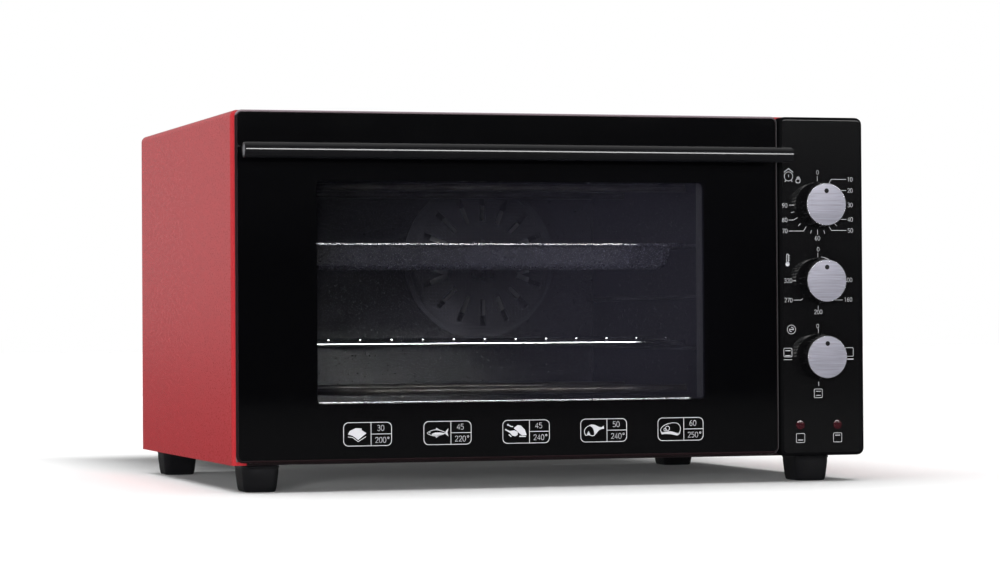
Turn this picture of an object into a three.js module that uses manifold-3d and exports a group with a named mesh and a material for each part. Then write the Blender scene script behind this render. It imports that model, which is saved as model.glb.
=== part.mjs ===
// Mini oven: a red steel cabinet with a drop-down glass door, three knobs, two pilot
// lamps, two heaters, a fan, a wire rack and a baking tray.
// Lengths are millimetres, +Z is up, +X is to the right and the door faces -Y.
// Pieces are laid out from the cabinet's left side (x), the door's front face (y) and
// the table (z). The last lines move the origin under the middle of the whole oven.

import * as THREE from 'three';
import { mergeVertices } from 'three/addons/utils/BufferGeometryUtils.js';
import Module from 'manifold-3d';

const wasm = await Module();
wasm.setup();

// Clearances
const seatGap = 0.3; // between two pieces that touch
const runningGap = 0.5; // round a shaft, a pin or an arm that moves
const overrun = 3; // how far a cutting solid runs past what it cuts
const weldDistance = 0.0002; // corners nearer than this are one corner

// Cabinet
const cabinetWidth = 570;
const cabinetHeight = 300;
const bezelDepth = 13.5; // from the door's face back to the shell's front edge
const shellDepth = 405;
const shellSheet = 0.9;
const shellEdgeRadius = 4; // the rolled front and rear edges
const shellCornerRadius = 4.5; // the folds along the top
const shellLip = 12; // turned in at the front and the rear
const frameThickness = 1.2;
const frameLip = 2.5; // how far the mouth is smaller than the cavity, each side
const basePanHeight = 14;
const basePanSheet = 1.2;
const baseVentLength = 60;
const baseVentWidth = 5;
const baseVentPitch = 26;
const baseVentFrontInset = 120;
const partitionThickness = 1;
const partitionInset = 5; // from the control panel's left edge
const backPanelThickness = 1.2;
const backPanelInset = 1;
const backCornerRadius = 4;
const backVentLength = 62;
const backVentWidth = 4;
const backVentPitch = 11;
const backVentDrop = 60; // from the cabinet's top to the first slot
const backScrewInset = 8;
const backScrewRadius = 1.9;
const backScrewHeadRadius = 4;
const backScrewHeadHeight = 2;
const backScrewLength = 6;

// Feet
const footHeight = 23;
const footWidth = 33;
const footDepth = 39;
const footTaper = 2.5; // how much narrower the bottom is, each side
const footCornerRadius = 7;
const footEdgeRadius = 1.5;
const footLeftInset = 26;
const footRightInset = 42.5;
const footFrontInset = 37;
const footRearInset = 39;

// Cavity
const cavitySideInset = 47; // from the door's sides
const cavityRise = 43; // above the cabinet's bottom
const cavityTopInset = 43; // under the cabinet's top
const cavityRearSpace = 46.3; // behind the cavity, for the fan motor
const cavityCornerRadius = 8;
const linerSheet = 1;
const linerFlange = 8;
const runnerDepth = 7;
const runnerHeight = 4;
const runnerFrontInset = 12;
const firstShelfRise = 54.7; // top of the lowest runner above the cavity's floor
const topShelfDrop = 68.5; // top of the highest runner under the cavity's roof
const shelfCount = 3;

// Control panel, with its knobs and lamps
const panelWidth = 79.5;
const panelWall = 2;
const panelEdgeRadius = 3;
const panelCornerRadius = 6;
const doorPanelGap = 1.5;
const knobRightInset = 44;
const topKnobDrop = 78.7; // under the cabinet's top
const knobPitch = 67.1;
const knobBackGap = 0.8;
const knobHeight = 19.2;
const knobSkirtRadius = 20.2;
const knobSkirtHeight = 2;
const knobBaseRadius = 19.4;
const knobFaceRadius = 18.9;
const knobFaceEdge = 0.8;
const knobBoreDepth = 13;
const capRadius = 18.5;
const capThickness = 1.1;
const shaftRadius = 3;
const shaftTail = 12; // length that turns inside the control's own bush
const bushRadius = 5;
const bushReach = 7; // in front of the front frame
const timerRadius = 24;
const timerDepth = 34;
const thermostatWidth = 40;
const thermostatHeight = 50;
const thermostatDepth = 30;
const selectorWidth = 42;
const selectorDepth = 36;
const tagWidth = 6;
const tagThickness = 1;
const tagLength = 9;
const tagPitch = 11;
const lampRise = 27.2;
const lampPitch = 35.3;
const lampLensRadius = 2.6;
const lampLensProud = 0.6;
const lampCollarRadius = 4.5;
const lampBodyLength = 9;

// Door
const doorSideInset = 0.5;
const doorTopInset = 0.8;
const doorBottomRise = 2.5;
const doorGlass = 4;
const glassCornerRadius = 6;
const windowSideInset = 70; // from the door's sides
const windowRise = 51.5; // above the cabinet's bottom
const windowTopInset = 60; // under the cabinet's top
const windowMargin = 1.5; // how far the frame's opening is larger, each side
const doorFrameInset = 3;
const doorFrameBottomInset = 0.8;
const doorFrameDepth = 6.7;
const doorFrameSheet = 1;
const doorFrameCornerRadius = 2;
const doorBoxDepth = 13;
const doorBoxGap = 3; // to the mouth of the front frame, each side
const doorBoxRadius = 5;
const innerGlass = 3;
const retainerHeight = 2.5;
const retainerThickness = 1.2;

// Door handle
const barRadius = 6.6;
const barEdge = 1;
const barStandOff = 33;
const barDrop = 36.5; // under the cabinet's top
const postRadius = 5;
const postInset = 62;
const handleScrewRadius = 2;
const handleScrewHeadRadius = 4.5;
const handleScrewHeadHeight = 2.5;
const handleScrewReach = 12; // in front of the glass

// Door hinges
const pivotDepth = 9;
const hingePinRadius = 1.6;
const hingePinHeadRadius = 3;
const hingePinHeadHeight = 0.8;
const hingePinTail = 2;
const earInset = 14;
const earThickness = 1.5;
const earRadius = 4.2;
const bracketWidth = 14;
const bracketHeight = 26;
const bracketThickness = 1.5;
const armInset = 28;
const armRadius = 52;
const armWidth = 10;
const armThickness = 2;
const armHeadWidth = 8;
const armHeadThickness = 1.4;
const armStartAngle = THREE.MathUtils.degToRad(-2);
const armEndAngle = THREE.MathUtils.degToRad(92);
const springRadius = 4.2;
const springWireRadius = 0.9;
const springLength = 92;
const springTurns = 6;
const springStepsPerTurn = 6;
const springTailLength = 7;
const springHookWidth = 12;
const springHookHeight = 16;
const springHookThickness = 2;

// Heaters and thermostat probe
const heaterRadius = 3.5;
const heaterTerminalReach = 16;
const heaterBendRadius = 85;
const heaterLeftInset = 26;
const heaterFrontInset = 95; // from the cavity's mouth to the near leg
const topHeaterDrop = 17;
const bottomHeaterRise = 16;
const heaterBendSteps = 12;
const probeRadius = 2.5;
const probeStraight = 83; // behind the bend
const probeFrontInset = 50;
const probeWallGap = 5;
const probeDrop = 10;
const probeBendRadius = 7;
const probeTail = 14;
const probeBendSteps = 4;

// Fan
const fanRightInset = 117.5; // from the cavity's right wall
const fanDrop = 77; // under the cavity's roof
const guardRadius = 76;
const guardFaceRadius = 68;
const guardFlange = 5;
const guardDepth = 13;
const guardSheet = 1;
const guardSlotCount = 16;
const guardSlotInner = 38;
const guardSlotOuter = 64;
const guardSlotWidth = 5;
const guardHoleRadius = 2.4;
const guardHolePitch = 9;
const guardHoleRings = 2;
const impellerRadius = 54;
const impellerSheet = 1;
const impellerHubRadius = 8;
const bladeCount = 8;
const bladeLength = 34;
const bladeHeight = 6;
const fanShaftRadius = 2.5;
const motorWidth = 62;
const motorCornerRadius = 10;
const motorDepth = 26;

// Wire rack and baking tray
const rackFrontInset = 71; // from the cavity's mouth
const rackRearGap = 19; // in front of the cavity's rear wall
const rackSideGap = 3;
const rackRailRadius = 2.5;
const rackWireRadius = 1.5;
const rackWireCount = 13;
const rackWireInset = 23; // from the rack's sides to its outer wires
const rackCornerRadius = 14;
const rackWeld = 0.5; // how far a cross wire sinks into a rail
const traySheet = 1;
const trayRim = 9;
const trayHeight = 24;
const trayTaper = 7;
const trayCornerRadius = 22;
const trayRimThickness = 1.2;

// Mains inlet
const glandRightInset = 40;
const glandRise = 36;
const glandRadius = 6.6;
const glandBore = 4;
const glandFlangeRadius = 9.5;
const glandFlangeThickness = 3;
const glandInnerThickness = 2.5;
const terminalWidth = 38;
const terminalDepth = 22;
const terminalHeight = 20;
const terminalSlotCount = 3;
const terminalSlotWidth = 7;
const terminalSlotDepth = 8;
const terminalRearInset = 30;

// Places that follow from the sizes
const cabinetBottom = footHeight;
const cabinetTop = cabinetBottom + cabinetHeight;
const shellFront = bezelDepth;
const shellBack = shellFront + shellDepth;
const backPanelFront = shellBack + seatGap;
const ovenBack = backPanelFront + backPanelThickness;
const frameFront = shellFront + shellSheet + seatGap;
const frameBack = frameFront + frameThickness;
const basePanFloor = cabinetBottom + basePanSheet;
const basePanFront = shellFront + shellEdgeRadius + seatGap;
const basePanBack = shellBack - shellEdgeRadius - seatGap;
const doorWidth = cabinetWidth - 2 * doorSideInset - doorPanelGap - panelWidth;
const doorLeft = doorSideInset;
const doorRight = doorLeft + doorWidth;
const doorMiddle = (doorLeft + doorRight) / 2;
const doorBottom = cabinetBottom + doorBottomRise;
const doorTop = cabinetTop - doorTopInset;
const panelLeft = doorRight + doorPanelGap;
const panelRight = cabinetWidth - doorSideInset;
const panelBack = shellFront - seatGap;
const knobX = cabinetWidth - knobRightInset;
const topKnobRise = cabinetHeight - topKnobDrop;
const knobRises = [topKnobRise, topKnobRise - knobPitch, topKnobRise - 2 * knobPitch];
const cavityLeft = doorLeft + cavitySideInset;
const cavityRight = doorRight - cavitySideInset;
const cavityBottom = cabinetBottom + cavityRise;
const cavityTop = cabinetTop - cavityTopInset;
const cavityFront = frameBack + seatGap;
const cavityBack = shellBack - cavityRearSpace;
const mouth = inset({ left: cavityLeft, right: cavityRight, bottom: cavityBottom, top: cavityTop }, frameLip);
const doorBox = inset(mouth, doorBoxGap);
const doorFrameFront = doorGlass + seatGap;
const doorFrameBack = doorFrameFront + doorFrameDepth;
const doorBoxBack = doorFrameBack + doorBoxDepth;
const doorFrameBottom = doorBottom + doorFrameBottomInset;
const doorFrameEdge = {
  left: doorLeft + doorFrameInset,
  right: doorRight - doorFrameInset,
  bottom: doorFrameBottom,
  top: doorTop - doorFrameInset,
};
const windowBox = {
  left: doorLeft + windowSideInset,
  right: doorRight - windowSideInset,
  bottom: cabinetBottom + windowRise,
  top: cabinetTop - windowTopInset,
};
const pivotHeight = doorFrameBottom + doorFrameSheet + seatGap + hingePinRadius;
const barHeight = cabinetTop - barDrop;
const postPlaces = [doorLeft + postInset, doorRight - postInset];
const fanX = cavityRight - fanRightInset;
const fanHeight = cavityTop - fanDrop;
const rackFront = cavityFront + rackFrontInset;
const rackBack = cavityBack - rackRearGap;
const firstShelf = cavityBottom + firstShelfRise;
const topShelf = cavityTop - topShelfDrop;
const shelfPitch = (topShelf - firstShelf) / (shelfCount - 1);
const rackRestHeight = firstShelf + seatGap;
const trayRestHeight = topShelf + seatGap;

// Finishes
const finishes = {
  redEnamel: finish(0xb5484f, 0.4, 0.1),
  blackGloss: finish(0x101012, 0.2, 0),
  blackPlastic: finish(0x18181a, 0.45, 0),
  darkEnamel: finish(0x2b2d33, 0.35, 0.1),
  darkSteel: finish(0x3a3b3e, 0.5, 0.7),
  plainSteel: finish(0xa9abae, 0.4, 0.9),
  brushedMetal: finish(0xb9babd, 0.35, 0.9),
  chrome: finish(0xd2d4d6, 0.15, 1),
  glass: finish(0x1a1b20, 0.05, 0),
  clearGlass: finish(0x8c959a, 0.05, 0),
  heaterSteel: finish(0x6f716c, 0.5, 0.8),
  pilotRed: finish(0x7a1a20, 0.25, 0),
  greyPlastic: finish(0x8d8f92, 0.5, 0),
};

/* Makes a material from its colour, roughness and metalness. */
function finish(color, roughness, metalness) {
  return new THREE.MeshStandardMaterial({ color, roughness, metalness });
}

/* Makes a box of four sides smaller by the same amount all round. */
function inset(box, amount) {
  return {
    left: box.left + amount,
    right: box.right - amount,
    bottom: box.bottom + amount,
    top: box.top - amount,
  };
}

/* Draws a rectangle, with round corners where a radius is given. */
function rectangle(box, radius = 0) {
  const shape = new THREE.Shape();
  if (radius === 0) {
    shape.moveTo(box.left, box.bottom);
    shape.lineTo(box.right, box.bottom);
    shape.lineTo(box.right, box.top);
    shape.lineTo(box.left, box.top);
    return shape;
  }
  const quarter = Math.PI / 2;
  shape.absarc(box.right - radius, box.bottom + radius, radius, -quarter, 0);
  shape.absarc(box.right - radius, box.top - radius, radius, 0, quarter);
  shape.absarc(box.left + radius, box.top - radius, radius, quarter, 2 * quarter);
  shape.absarc(box.left + radius, box.bottom + radius, radius, 2 * quarter, 3 * quarter);
  return shape;
}

/* Draws a rectangle of a width and height about a centre. */
function rectangleAt(x, y, width, height, radius = 0) {
  const box = { left: x - width / 2, right: x + width / 2, bottom: y - height / 2, top: y + height / 2 };
  return rectangle(box, radius);
}

/* Draws a circle about a centre. */
function circle(x, y, radius) {
  const shape = new THREE.Shape();
  shape.absarc(x, y, radius, 0, 2 * Math.PI);
  return shape;
}

/* Turns closed geometry into a solid whose faces point out. */
function solidOf(geometry) {
  const bare = new THREE.BufferGeometry();
  bare.setAttribute('position', geometry.getAttribute('position').clone());
  if (geometry.index) bare.setIndex(geometry.index.clone());
  const merged = mergeVertices(bare, weldDistance);
  const points = merged.getAttribute('position').array;
  const corners = [];
  let volume = 0;
  for (let i = 0; i < merged.index.count; i += 3) {
    const [a, b, c] = [0, 1, 2].map((step) => merged.index.getX(i + step));
    if (a === b || b === c || c === a) continue;
    corners.push(a, b, c);
    const [p, q, r] = [a, b, c].map((corner) => new THREE.Vector3().fromArray(points, 3 * corner));
    volume += p.dot(q.cross(r));
  }
  if (volume < 0) corners.reverse();
  const triVerts = Uint32Array.from(corners);
  return new wasm.Manifold(new wasm.Mesh({ numProp: 3, vertProperties: points, triVerts }));
}

/* Extrudes a drawing straight and turns it so that its axes lie along the given ones. */
function extrude(shape, depth, arcSteps, axes, shift) {
  const settings = { depth, bevelEnabled: false, curveSegments: arcSteps / 2 };
  const geometry = new THREE.ExtrudeGeometry(shape, settings);
  geometry.applyMatrix4(new THREE.Matrix4().makeBasis(...axes));
  geometry.translate(shift.x, shift.y, shift.z);
  return solidOf(geometry);
}

const alongX = new THREE.Vector3(1, 0, 0);
const alongY = new THREE.Vector3(0, 1, 0);
const alongZ = new THREE.Vector3(0, 0, 1);

/* Extrudes a drawing in x and z backwards, from one y to another. */
function frontPlate(shape, fromY, toY, arcSteps = 4) {
  const axes = [alongX, alongZ, alongY.clone().negate()];
  return extrude(shape, toY - fromY, arcSteps, axes, new THREE.Vector3(0, toY, 0));
}

/* Extrudes a drawing in y and z sideways, from one x to another. */
function sidePlate(shape, fromX, toX, arcSteps = 4) {
  return extrude(shape, toX - fromX, arcSteps, [alongY, alongZ, alongX], new THREE.Vector3(fromX, 0, 0));
}

/* Extrudes a drawing in x and y upwards, from one z to another. */
function floorPlate(shape, fromZ, toZ, arcSteps = 4) {
  return extrude(shape, toZ - fromZ, arcSteps, [alongX, alongY, alongZ], new THREE.Vector3(0, 0, fromZ));
}

/* Turns a profile of radius and place round the y axis. */
function turned(profile, segments = 32) {
  const points = profile.map(([radius, place]) => new THREE.Vector2(radius, place));
  return solidOf(new THREE.LatheGeometry(points, segments));
}

/* Turns a plain round rod about the y axis, from one y to another. */
function rod(radius, fromY, toY, segments = 16) {
  return turned([[0, fromY], [radius, fromY], [radius, toY], [0, toY]], segments);
}

/* Skins rings of equally many points into one closed solid. */
function loft(rings) {
  const count = rings[0].length;
  const positions = rings.flat().flatMap((point) => [point.x, point.y, point.z]);
  const index = [];
  for (let ring = 0; ring + 1 < rings.length; ring += 1) {
    for (let k = 0; k < count; k += 1) {
      const here = ring * count + k;
      const next = ring * count + ((k + 1) % count);
      index.push(here, next, next + count, here, next + count, here + count);
    }
  }
  const last = (rings.length - 1) * count;
  for (let k = 1; k + 1 < count; k += 1) {
    index.push(0, k + 1, k);
    index.push(last, last + k, last + k + 1);
  }
  const geometry = new THREE.BufferGeometry();
  geometry.setAttribute('position', new THREE.Float32BufferAttribute(positions, 3));
  geometry.setIndex(index);
  return solidOf(geometry);
}

/* Lists the points of a round-cornered outline, placed by a function of both axes. */
function outlineRing(box, radius, place, arcSteps = 4) {
  const points = [];
  const corners = [
    [box.right - radius, box.bottom + radius],
    [box.right - radius, box.top - radius],
    [box.left + radius, box.top - radius],
    [box.left + radius, box.bottom + radius],
  ];
  corners.forEach(([x, y], turn) => {
    for (let step = 0; step <= arcSteps; step += 1) {
      const angle = ((turn - 1 + step / arcSteps) * Math.PI) / 2;
      points.push(place(x + radius * Math.cos(angle), y + radius * Math.sin(angle)));
    }
  });
  return points;
}

/* Skins an upright box whose front and rear edges are rounded over. */
function roundedBox(box, cornerRadius, front, back, frontRadius, backRadius) {
  const steps = 3;
  const rings = [];
  const addRing = (amount, y) => {
    const place = (x, z) => new THREE.Vector3(x, y, z);
    rings.push(outlineRing(inset(box, amount), cornerRadius - amount, place));
  };
  for (let step = 0; step <= steps; step += 1) {
    const angle = (step / steps) * (Math.PI / 2);
    addRing(frontRadius * (1 - Math.sin(angle)), front + frontRadius * (1 - Math.cos(angle)));
  }
  if (backRadius === 0) {
    addRing(0, back);
    return loft(rings);
  }
  for (let step = 0; step <= steps; step += 1) {
    const angle = (step / steps) * (Math.PI / 2);
    addRing(backRadius * (1 - Math.cos(angle)), back - backRadius * (1 - Math.sin(angle)));
  }
  return loft(rings);
}

/* Lists points along part of a circle at one height. */
function arcPoints(x, y, z, radius, fromAngle, toAngle, steps) {
  return Array.from({ length: steps + 1 }, (_, step) => {
    const angle = fromAngle + ((toAngle - fromAngle) * step) / steps;
    return new THREE.Vector3(x + radius * Math.cos(angle), y + radius * Math.sin(angle), z);
  });
}

/* Lists a ring of points square to a level path at each of the path's points. */
function levelRings(path, radius, closed) {
  const sides = 8;
  const last = path.length - 1;
  return path.map((point, at) => {
    const before = at > 0 ? path[at - 1] : path[closed ? last : 0];
    const after = at < last ? path[at + 1] : path[closed ? 0 : last];
    const outward = after.clone().sub(before).normalize().cross(alongZ);
    return Array.from({ length: sides }, (_, side) => {
      const angle = (2 * Math.PI * (side + 0.5)) / sides;
      const step = outward.clone().multiplyScalar(Math.cos(angle) * radius);
      return step.addScaledVector(alongZ, Math.sin(angle) * radius).add(point);
    });
  });
}

/* Sweeps a six-sided section along a curve. */
function tube(curve, radius, steps) {
  const section = circle(0, 0, radius);
  const settings = { steps, curveSegments: 3, extrudePath: curve, bevelEnabled: false };
  return solidOf(new THREE.ExtrudeGeometry(section, settings));
}

/* Joins any number of solids into one. */
function join(...solids) {
  return solids.reduce((sum, next) => sum.add(next));
}

/* Cuts any number of solids out of the first one. */
function cut(body, ...tools) {
  return tools.reduce((left, tool) => left.subtract(tool), body);
}

/* Makes a named mesh of a solid and places it. */
function piece(name, solid, material, place = [0, 0, 0]) {
  const { vertProperties, triVerts } = solid.getMesh();
  const geometry = new THREE.BufferGeometry();
  geometry.setAttribute('position', new THREE.BufferAttribute(vertProperties, 3));
  geometry.setIndex(new THREE.BufferAttribute(triVerts, 1));
  geometry.computeVertexNormals();
  const mesh = new THREE.Mesh(geometry, material);
  mesh.name = name;
  mesh.position.set(...place);
  return mesh;
}

// Cabinet pieces

/* The shell's outer form, made smaller by the same amount all round. */
function shellForm(amount) {
  const outer = {
    left: 0,
    right: cabinetWidth,
    bottom: cabinetBottom - 2 * shellCornerRadius - shellLip,
    top: cabinetTop,
  };
  const edge = shellEdgeRadius - amount;
  const corner = shellCornerRadius - amount;
  return roundedBox(inset(outer, amount), corner, shellFront + amount, shellBack - amount, edge, edge);
}

/* The middle of each screw that holds the rear panel to the shell's rear lip. */
function backScrewPlaces() {
  const upper = cabinetTop - backScrewInset;
  const lower = cabinetBottom + 4 * backScrewInset;
  const [left, right] = [backScrewInset, cabinetWidth - backScrewInset];
  return [[left, upper], [right, upper], [left, lower], [right, lower]];
}

/* Round holes along y at the rear panel's screws. */
function backScrewHoles() {
  const radius = backScrewRadius + runningGap;
  const drill = (x, z) => frontPlate(circle(x, z, radius), shellBack - overrun, ovenBack + overrun, 12);
  return backScrewPlaces().map(([x, z]) => drill(x, z));
}

/* The red sheet that wraps the left side, the top and the right side. */
function outerShell() {
  const through = {
    left: shellLip,
    right: cabinetWidth - shellLip,
    bottom: -cabinetHeight,
    top: cabinetTop - shellLip,
  };
  const below = {
    left: -overrun,
    right: cabinetWidth + overrun,
    bottom: -cabinetHeight,
    top: cabinetBottom,
  };
  const [front, back] = [shellFront - overrun, shellBack + overrun];
  const walls = cut(shellForm(0), shellForm(shellSheet));
  const ends = frontPlate(rectangle(through), front, back);
  const underside = frontPlate(rectangle(below), front, back);
  return piece('outer_shell', cut(walls, ends, underside, ...backScrewHoles()), finishes.redEnamel);
}

/* The sheet behind the door and the panel, with the oven's mouth in it. */
function frontFrame() {
  const edge = {
    left: shellEdgeRadius + seatGap,
    right: cabinetWidth - shellEdgeRadius - seatGap,
    bottom: cabinetBottom,
    top: cabinetTop - shellEdgeRadius - seatGap,
  };
  const through = (shape, arcSteps) => frontPlate(shape, frameFront - overrun, frameBack + overrun, arcSteps);
  const armBottom = pivotHeight + armRadius - armWidth / 2 - 4 * runningGap;
  const armTop = pivotHeight + armRadius + armWidth / 2 + 2 * runningGap;
  const slots = [doorLeft + armInset, doorRight - armInset].map((x) => {
    const middle = (armBottom + armTop) / 2;
    return through(rectangleAt(x, middle, armThickness + 4 * runningGap, armTop - armBottom));
  });
  const bushes = knobRises.map((rise) => {
    return through(circle(knobX, cabinetBottom + rise, bushRadius + runningGap), 20);
  });
  const plate = frontPlate(rectangle(edge), frameFront, frameBack);
  const opening = through(rectangle(mouth, cavityCornerRadius - frameLip));
  return piece('front_frame', cut(plate, opening, ...slots, ...bushes), finishes.redEnamel);
}

/* The folded floor of the cabinet, with vents and a hook tab for each door spring. */
function basePan() {
  const side = shellSheet + seatGap;
  const box = { left: side, right: cabinetWidth - side, bottom: basePanFront, top: basePanBack };
  const outer = floorPlate(rectangle(box), cabinetBottom, cabinetBottom + basePanHeight);
  const inner = floorPlate(
    rectangle(inset(box, basePanSheet)),
    basePanFloor,
    cabinetBottom + basePanHeight + overrun,
  );
  const vents = [];
  for (let row = 0; row < 4; row += 1) {
    for (const column of [-1, 0, 1]) {
      const x = doorMiddle + 2 * column * baseVentLength;
      const y = basePanFront + baseVentFrontInset + row * baseVentPitch;
      const slot = rectangleAt(x, y, baseVentLength, baseVentWidth);
      vents.push(floorPlate(slot, cabinetBottom - overrun, basePanFloor + overrun));
    }
  }
  const hooks = [doorLeft + armInset, doorRight - armInset].map((x) => {
    const y = springFront() + springLength + seatGap + springHookThickness / 2;
    const foot = rectangleAt(x, y, springHookWidth, springHookThickness);
    return floorPlate(foot, cabinetBottom + basePanSheet / 2, basePanFloor + springHookHeight);
  });
  return piece('base_pan', join(cut(outer, inner, ...vents), ...hooks), finishes.plainSteel);
}

/* The upright sheet between the hot cavity and the controls. */
function partitionPlate() {
  const x = panelLeft - partitionInset;
  const box = {
    left: basePanFront + basePanSheet + seatGap,
    right: basePanBack - basePanSheet - seatGap,
    bottom: basePanFloor + seatGap,
    top: cabinetTop - shellSheet - seatGap,
  };
  return piece('partition_plate', sidePlate(rectangle(box), x, x + partitionThickness), finishes.plainSteel);
}

/* The rear sheet with its air slots and the hole for the mains inlet. */
function backPanel() {
  const edge = {
    left: backPanelInset,
    right: cabinetWidth - backPanelInset,
    bottom: cabinetBottom,
    top: cabinetTop - backPanelInset,
  };
  const through = (shape, arcSteps) => frontPlate(shape, backPanelFront - overrun, ovenBack + overrun, arcSteps);
  const slots = [];
  const columns = [fanX - backVentLength, fanX + backVentLength / 4, knobX];
  columns.forEach((x) => {
    for (let row = 0; row < 8; row += 1) {
      const z = cabinetTop - backVentDrop - row * backVentPitch;
      slots.push(through(rectangleAt(x, z, backVentLength, backVentWidth)));
    }
  });
  const [x, z] = [cabinetWidth - glandRightInset, cabinetBottom + glandRise];
  const inlet = through(circle(x, z, glandRadius + seatGap), 20);
  const plate = frontPlate(rectangle(edge, backCornerRadius), backPanelFront, ovenBack);
  return piece('back_panel', cut(plate, inlet, ...slots, ...backScrewHoles()), finishes.darkSteel);
}

/* The four screws in the rear panel. */
function backScrews() {
  const head = ovenBack + seatGap;
  const profile = [
    [0, ovenBack - backScrewLength],
    [backScrewRadius, ovenBack - backScrewLength],
    [backScrewRadius, head],
    [backScrewHeadRadius, head],
    [backScrewHeadRadius, head + backScrewHeadHeight / 2],
    [backScrewHeadRadius / 2, head + backScrewHeadHeight],
    [0, head + backScrewHeadHeight],
  ];
  return backScrewPlaces().map(([x, z], at) => {
    return piece(`back_screw_${at + 1}`, turned(profile, 12), finishes.plainSteel, [x, 0, z]);
  });
}

/* One tapered foot, standing on z = 0 about its own middle. */
function footSolid() {
  const box = { left: -footWidth / 2, right: footWidth / 2, bottom: -footDepth / 2, top: footDepth / 2 };
  const ring = (amount, z) => {
    const place = (x, y) => new THREE.Vector3(x, y, z);
    return outlineRing(inset(box, amount), footCornerRadius - amount, place, 4);
  };
  const top = footHeight - seatGap;
  return loft([
    ring(footTaper + footEdgeRadius, 0),
    ring(footTaper, footEdgeRadius),
    ring(0, top),
  ]);
}

/* The four feet. */
function feet() {
  const right = cabinetWidth - footRightInset;
  const rear = ovenBack - footRearInset;
  const places = {
    foot_front_left: [footLeftInset, footFrontInset],
    foot_front_right: [right, footFrontInset],
    foot_rear_left: [footLeftInset, rear],
    foot_rear_right: [right, rear],
  };
  return Object.entries(places).map(([name, [x, y]]) => {
    return piece(name, footSolid(), finishes.blackPlastic, [x, y, 0]);
  });
}

// Cavity pieces

/* The enamelled box that food is cooked in, with shelf runners pressed in its sides. */
function cavityLiner() {
  const inner = { left: cavityLeft, right: cavityRight, bottom: cavityBottom, top: cavityTop };
  const outerBox = rectangle(inset(inner, -linerSheet), cavityCornerRadius + linerSheet);
  const flangeBox = rectangle(inset(inner, -linerFlange), cavityCornerRadius + linerSheet);
  const walls = frontPlate(outerBox, cavityFront, cavityBack + linerSheet);
  const flange = frontPlate(flangeBox, cavityFront, cavityFront + linerSheet);
  const hollow = frontPlate(rectangle(inner, cavityCornerRadius), cavityFront - overrun, cavityBack);
  const runners = [];
  for (let shelf = 0; shelf < shelfCount; shelf += 1) {
    const top = firstShelf + shelf * shelfPitch;
    const span = { left: cavityFront + runnerFrontInset, right: cavityBack + linerSheet / 2 };
    const section = rectangle({ ...span, bottom: top - runnerHeight, top });
    runners.push(sidePlate(section, cavityLeft - linerSheet / 2, cavityLeft + runnerDepth));
    runners.push(sidePlate(section, cavityRight - runnerDepth, cavityRight + linerSheet / 2));
  }
  const sideHole = (y, z, radius) => {
    const [from, to] = [cavityRight - overrun, cavityRight + linerSheet + overrun];
    return sidePlate(circle(y, z, radius + runningGap), from, to, 16);
  };
  const heaterHoles = [topHeaterHeight(), bottomHeaterHeight()].flatMap((z) => {
    return heaterLegPlaces().map((y) => sideHole(y, z, heaterRadius));
  });
  const probeHole = sideHole(probePlace().y, probePlace().z, probeRadius);
  const [from, to] = [cavityBack - overrun, cavityBack + linerSheet + overrun];
  const shaftHole = frontPlate(circle(fanX, fanHeight, fanShaftRadius + runningGap), from, to, 12);
  const box = join(cut(join(walls, flange), hollow), ...runners);
  return piece('cavity_liner', cut(box, ...heaterHoles, probeHole, shaftHole), finishes.darkEnamel);
}

/* The height of the upper heater. */
function topHeaterHeight() {
  return cavityTop - topHeaterDrop;
}

/* The height of the lower heater. */
function bottomHeaterHeight() {
  return cavityBottom + bottomHeaterRise;
}

/* The depths of a heater's two straight legs. */
function heaterLegPlaces() {
  const near = cavityFront + heaterFrontInset;
  return [near, near + 2 * heaterBendRadius];
}

/* One heater rod bent to a U that lies level, its ends through the right wall. */
function heater(name, height) {
  const [near, far] = heaterLegPlaces();
  const end = cavityRight + heaterTerminalReach;
  const bend = cavityLeft + heaterLeftInset + heaterBendRadius;
  const middle = (near + far) / 2;
  const quarter = Math.PI / 2;
  const path = [
    new THREE.Vector3(end, near, height),
    ...arcPoints(bend, middle, height, heaterBendRadius, -quarter, -3 * quarter, heaterBendSteps),
    new THREE.Vector3(end, far, height),
  ];
  return piece(name, loft(levelRings(path, heaterRadius, false)), finishes.heaterSteel);
}

/* Where the thermostat's probe goes through the right wall. */
function probePlace() {
  return { y: cavityFront + probeFrontInset, z: cavityTop - probeDrop };
}

/* The thermostat's feeler, which comes through the right wall and runs back along it. */
function thermostatProbe() {
  const { y, z } = probePlace();
  const run = cavityRight - probeWallGap - probeRadius;
  const [bendX, bendY] = [run + probeBendRadius, y + probeBendRadius];
  const path = [
    new THREE.Vector3(cavityRight + probeTail, y, z),
    ...arcPoints(bendX, bendY, z, probeBendRadius, -Math.PI / 2, -Math.PI, probeBendSteps),
    new THREE.Vector3(run, bendY + probeStraight, z),
  ];
  return piece('thermostat_probe', loft(levelRings(path, probeRadius, false)), finishes.chrome);
}

// Control pieces

/* The black front panel on the right, a shallow cover open at the back. */
function controlPanel() {
  const edge = { left: panelLeft, right: panelRight, bottom: cabinetBottom, top: doorTop };
  const outer = roundedBox(edge, panelCornerRadius, 0, panelBack, panelEdgeRadius, 0);
  const innerRadius = panelCornerRadius - panelWall;
  const hollow = roundedBox(
    inset(edge, panelWall),
    innerRadius,
    panelWall,
    panelBack + overrun,
    panelEdgeRadius - panelWall,
    0,
  );
  const through = (shape) => frontPlate(shape, -overrun, panelWall + overrun, 16);
  const shafts = knobRises.map((rise) => through(circle(knobX, cabinetBottom + rise, shaftRadius + runningGap)));
  const lamps = lampPlaces().map((x) => {
    return through(circle(x, cabinetBottom + lampRise, lampLensRadius + seatGap));
  });
  return piece('control_panel', cut(outer, hollow, ...shafts, ...lamps), finishes.blackGloss);
}

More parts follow.
